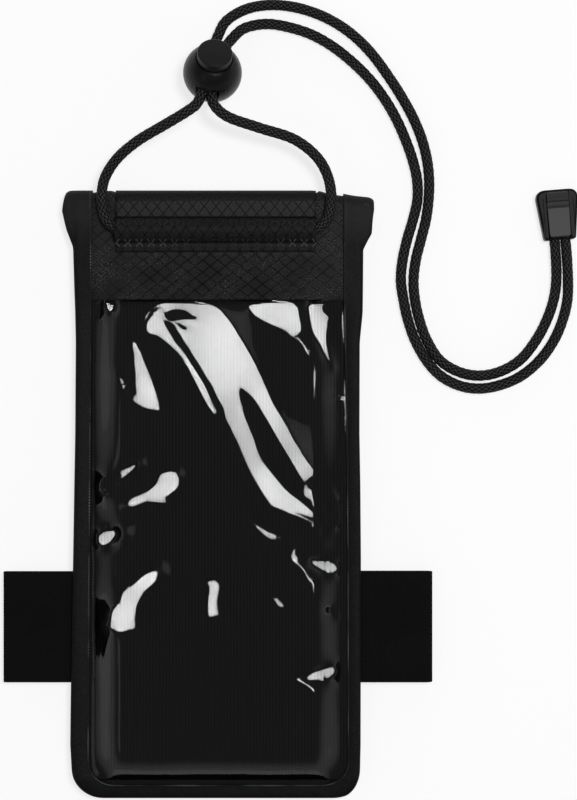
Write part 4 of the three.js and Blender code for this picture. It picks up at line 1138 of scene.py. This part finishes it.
# Armband
# An elastic band 38 mm wide, woven black, laid flat as a loop under the pouch. Its ends lap and
# are held by the hook patch.
BAND_WIDTH = 0.0384
BAND_THICKNESS = 0.0013
BAND_Y = -0.0452
BAND_REACH = 0.0734
BAND_OUTER_END = -0.030
BAND_INNER_END = 0.022
BAND_Z_UPPER = 0.00445
BAND_Z_INNER = 0.00265
BAND_Z_OUTER = 0.00065
BAND_CLEARANCE = 0.0001
SELVEDGE = 0.0003
WALE_PITCH = 0.0009
PICK_PITCH = 0.0011


def woven_elastic():
    material, shader = new_finish("woven_elastic", 0.9, Specular_IOR_Level=0.05)
    uv, u, v = uv_axes(material)
    knit = plus(wave(u, 2 * math.pi / WALE_PITCH), times(wave(v, 2 * math.pi / PICK_PITCH), 0.6))
    fuzz, patchy = noise(uv, 1500.0, 3.0), noise(uv, 60.0)
    tone = plus(times(fuzz, 0.5), times(patchy, 0.5))
    give_skin(shader, blend_colours(tone, (0.0035, 0.0035, 0.0036), (0.0125, 0.0125, 0.0128)),
              plus(knit, times(fuzz, 2.0)), 0.00008)
    return material


def band_turn(centre, radius, z_first, z_last):
    """Half a turn of the band; a negative radius turns on the left."""
    middle, half = (z_first + z_last) / 2, (z_first - z_last) / 2
    return [(centre + radius * math.sin(t), middle + half * math.cos(t))
            for t in np.linspace(0, math.pi, 11)]


def band_line():
    """The middle of the band, from the inner end round both turns to the outer end."""
    line = [(x, BAND_Z_INNER) for x in np.linspace(BAND_INNER_END, -BAND_REACH + 0.0022, 50)]
    line += band_turn(-BAND_REACH + 0.00155, -0.0009, BAND_Z_INNER, BAND_Z_UPPER)
    line += [(x, BAND_Z_UPPER) for x in np.linspace(-BAND_REACH + 0.0035, BAND_REACH - 0.0045, 80)]
    line += band_turn(BAND_REACH - 0.00255, 0.0019, BAND_Z_UPPER, BAND_Z_OUTER)
    outer = np.linspace(BAND_REACH - 0.0045, BAND_OUTER_END, 60)
    return line + [(x, BAND_Z_OUTER) for x in outer]


edge_share = np.array([0, 0.004, 0.012, 0.03, 0.08, 0.2, 0.35, 0.5, 0.65, 0.8, 0.92, 0.97, 0.988,
                       0.996, 1])
line = np.array(band_line())
run = run_along(line)
ys = BAND_Y + (edge_share - 0.5) * (BAND_WIDTH - 2 * SELVEDGE)
rows = [[(x, y, z) for y in ys] for x, z in line]
band = sheet_piece("armband_elastic", rows, BAND_THICKNESS - BAND_CLEARANCE, woven_elastic(),
                   flat=laid_flat(edge_share * BAND_WIDTH, run))
band.modifiers["thickness"].offset = 0
rounding = band.modifiers.new("selvedge", "BEVEL")
rounding.width = SELVEDGE
rounding.segments = 2
rounding.limit_method = "ANGLE"
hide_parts("armband")

# Band sleeve
# A hat-shaped loop of the back cloth, welded to the back wall by a flange above and below, that
# the armband runs through.
LOOP_Y = [-0.0306, -0.0226, -0.0200, 0.0200, 0.0226, 0.0306]
LOOP_Z = [0.0051, 0.0051, 0.0033, 0.0033, 0.0051, 0.0051]
LOOP_HALF = 0.030


def loop_rows():
    """Rows over the loop, with its bends a little rounded."""
    share = np.concatenate([np.linspace(i, i + 1, 13)[:-1] for i in range(5)] + [[5]])
    ys, zs = np.interp(share, range(6), LOOP_Y), np.interp(share, range(6), LOOP_Z)
    for _ in range(2):
        zs[1:-1] = (zs[:-2] + 2 * zs[1:-1] + zs[2:]) / 4
    xs = np.linspace(LOOP_HALF, -LOOP_HALF, 40)
    return [[(x, BAND_Y + y, z) for x in xs] for y, z in zip(ys, zs)]


band_sleeve = sheet_piece("armband_loop_cloth", loop_rows(), CLOTH, tape_cloth())
band_sleeve.modifiers["thickness"].offset = -1
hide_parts("armband_sleeve")

# Ball cord lock
# A moulded ball with two bores for the cord, a button on top and a steel spring inside, which
# the button squeezes. The skin is satin, finely textured from the mould.
ball_finish = moulded("ball_plastic", (0.0035, 0.0035, 0.0036), (0.008, 0.008, 0.0082), 0.34,
                      Specular_IOR_Level=0.22)
button_finish = moulded("button_plastic", (0.010, 0.010, 0.0105), (0.015, 0.015, 0.0155), 0.38,
                        Specular_IOR_Level=0.22)
coil_finish = moulded("spring_steel", (0.35, 0.35, 0.36), (0.5, 0.5, 0.51), 0.28, Metallic=1.0)
dress_node("cord_lock_housing", ball_finish, 0.0005)
dress_node("cord_lock_plunger", button_finish, 0.0005)
dress(lock_coil, coil_finish)
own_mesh(lock_coil)

# Cord end
# A moulded wedge with a grooved wing on each side and a bar snapped into its face, which grips
# both ends of the lanyard.
wedge_finish = moulded("cord_end_body_plastic", (0.003, 0.003, 0.0032), (0.007, 0.007, 0.0072),
                       0.36, Specular_IOR_Level=0.07)
bar_finish = moulded("cord_end_bar_plastic", (0.038, 0.038, 0.0385), (0.056, 0.056, 0.0565),
                     0.4, Specular_IOR_Level=0.16)
dress_node("cord_end_body", wedge_finish, 0.0004)
dress_node("cord_end_bar", bar_finish, 0.0003)
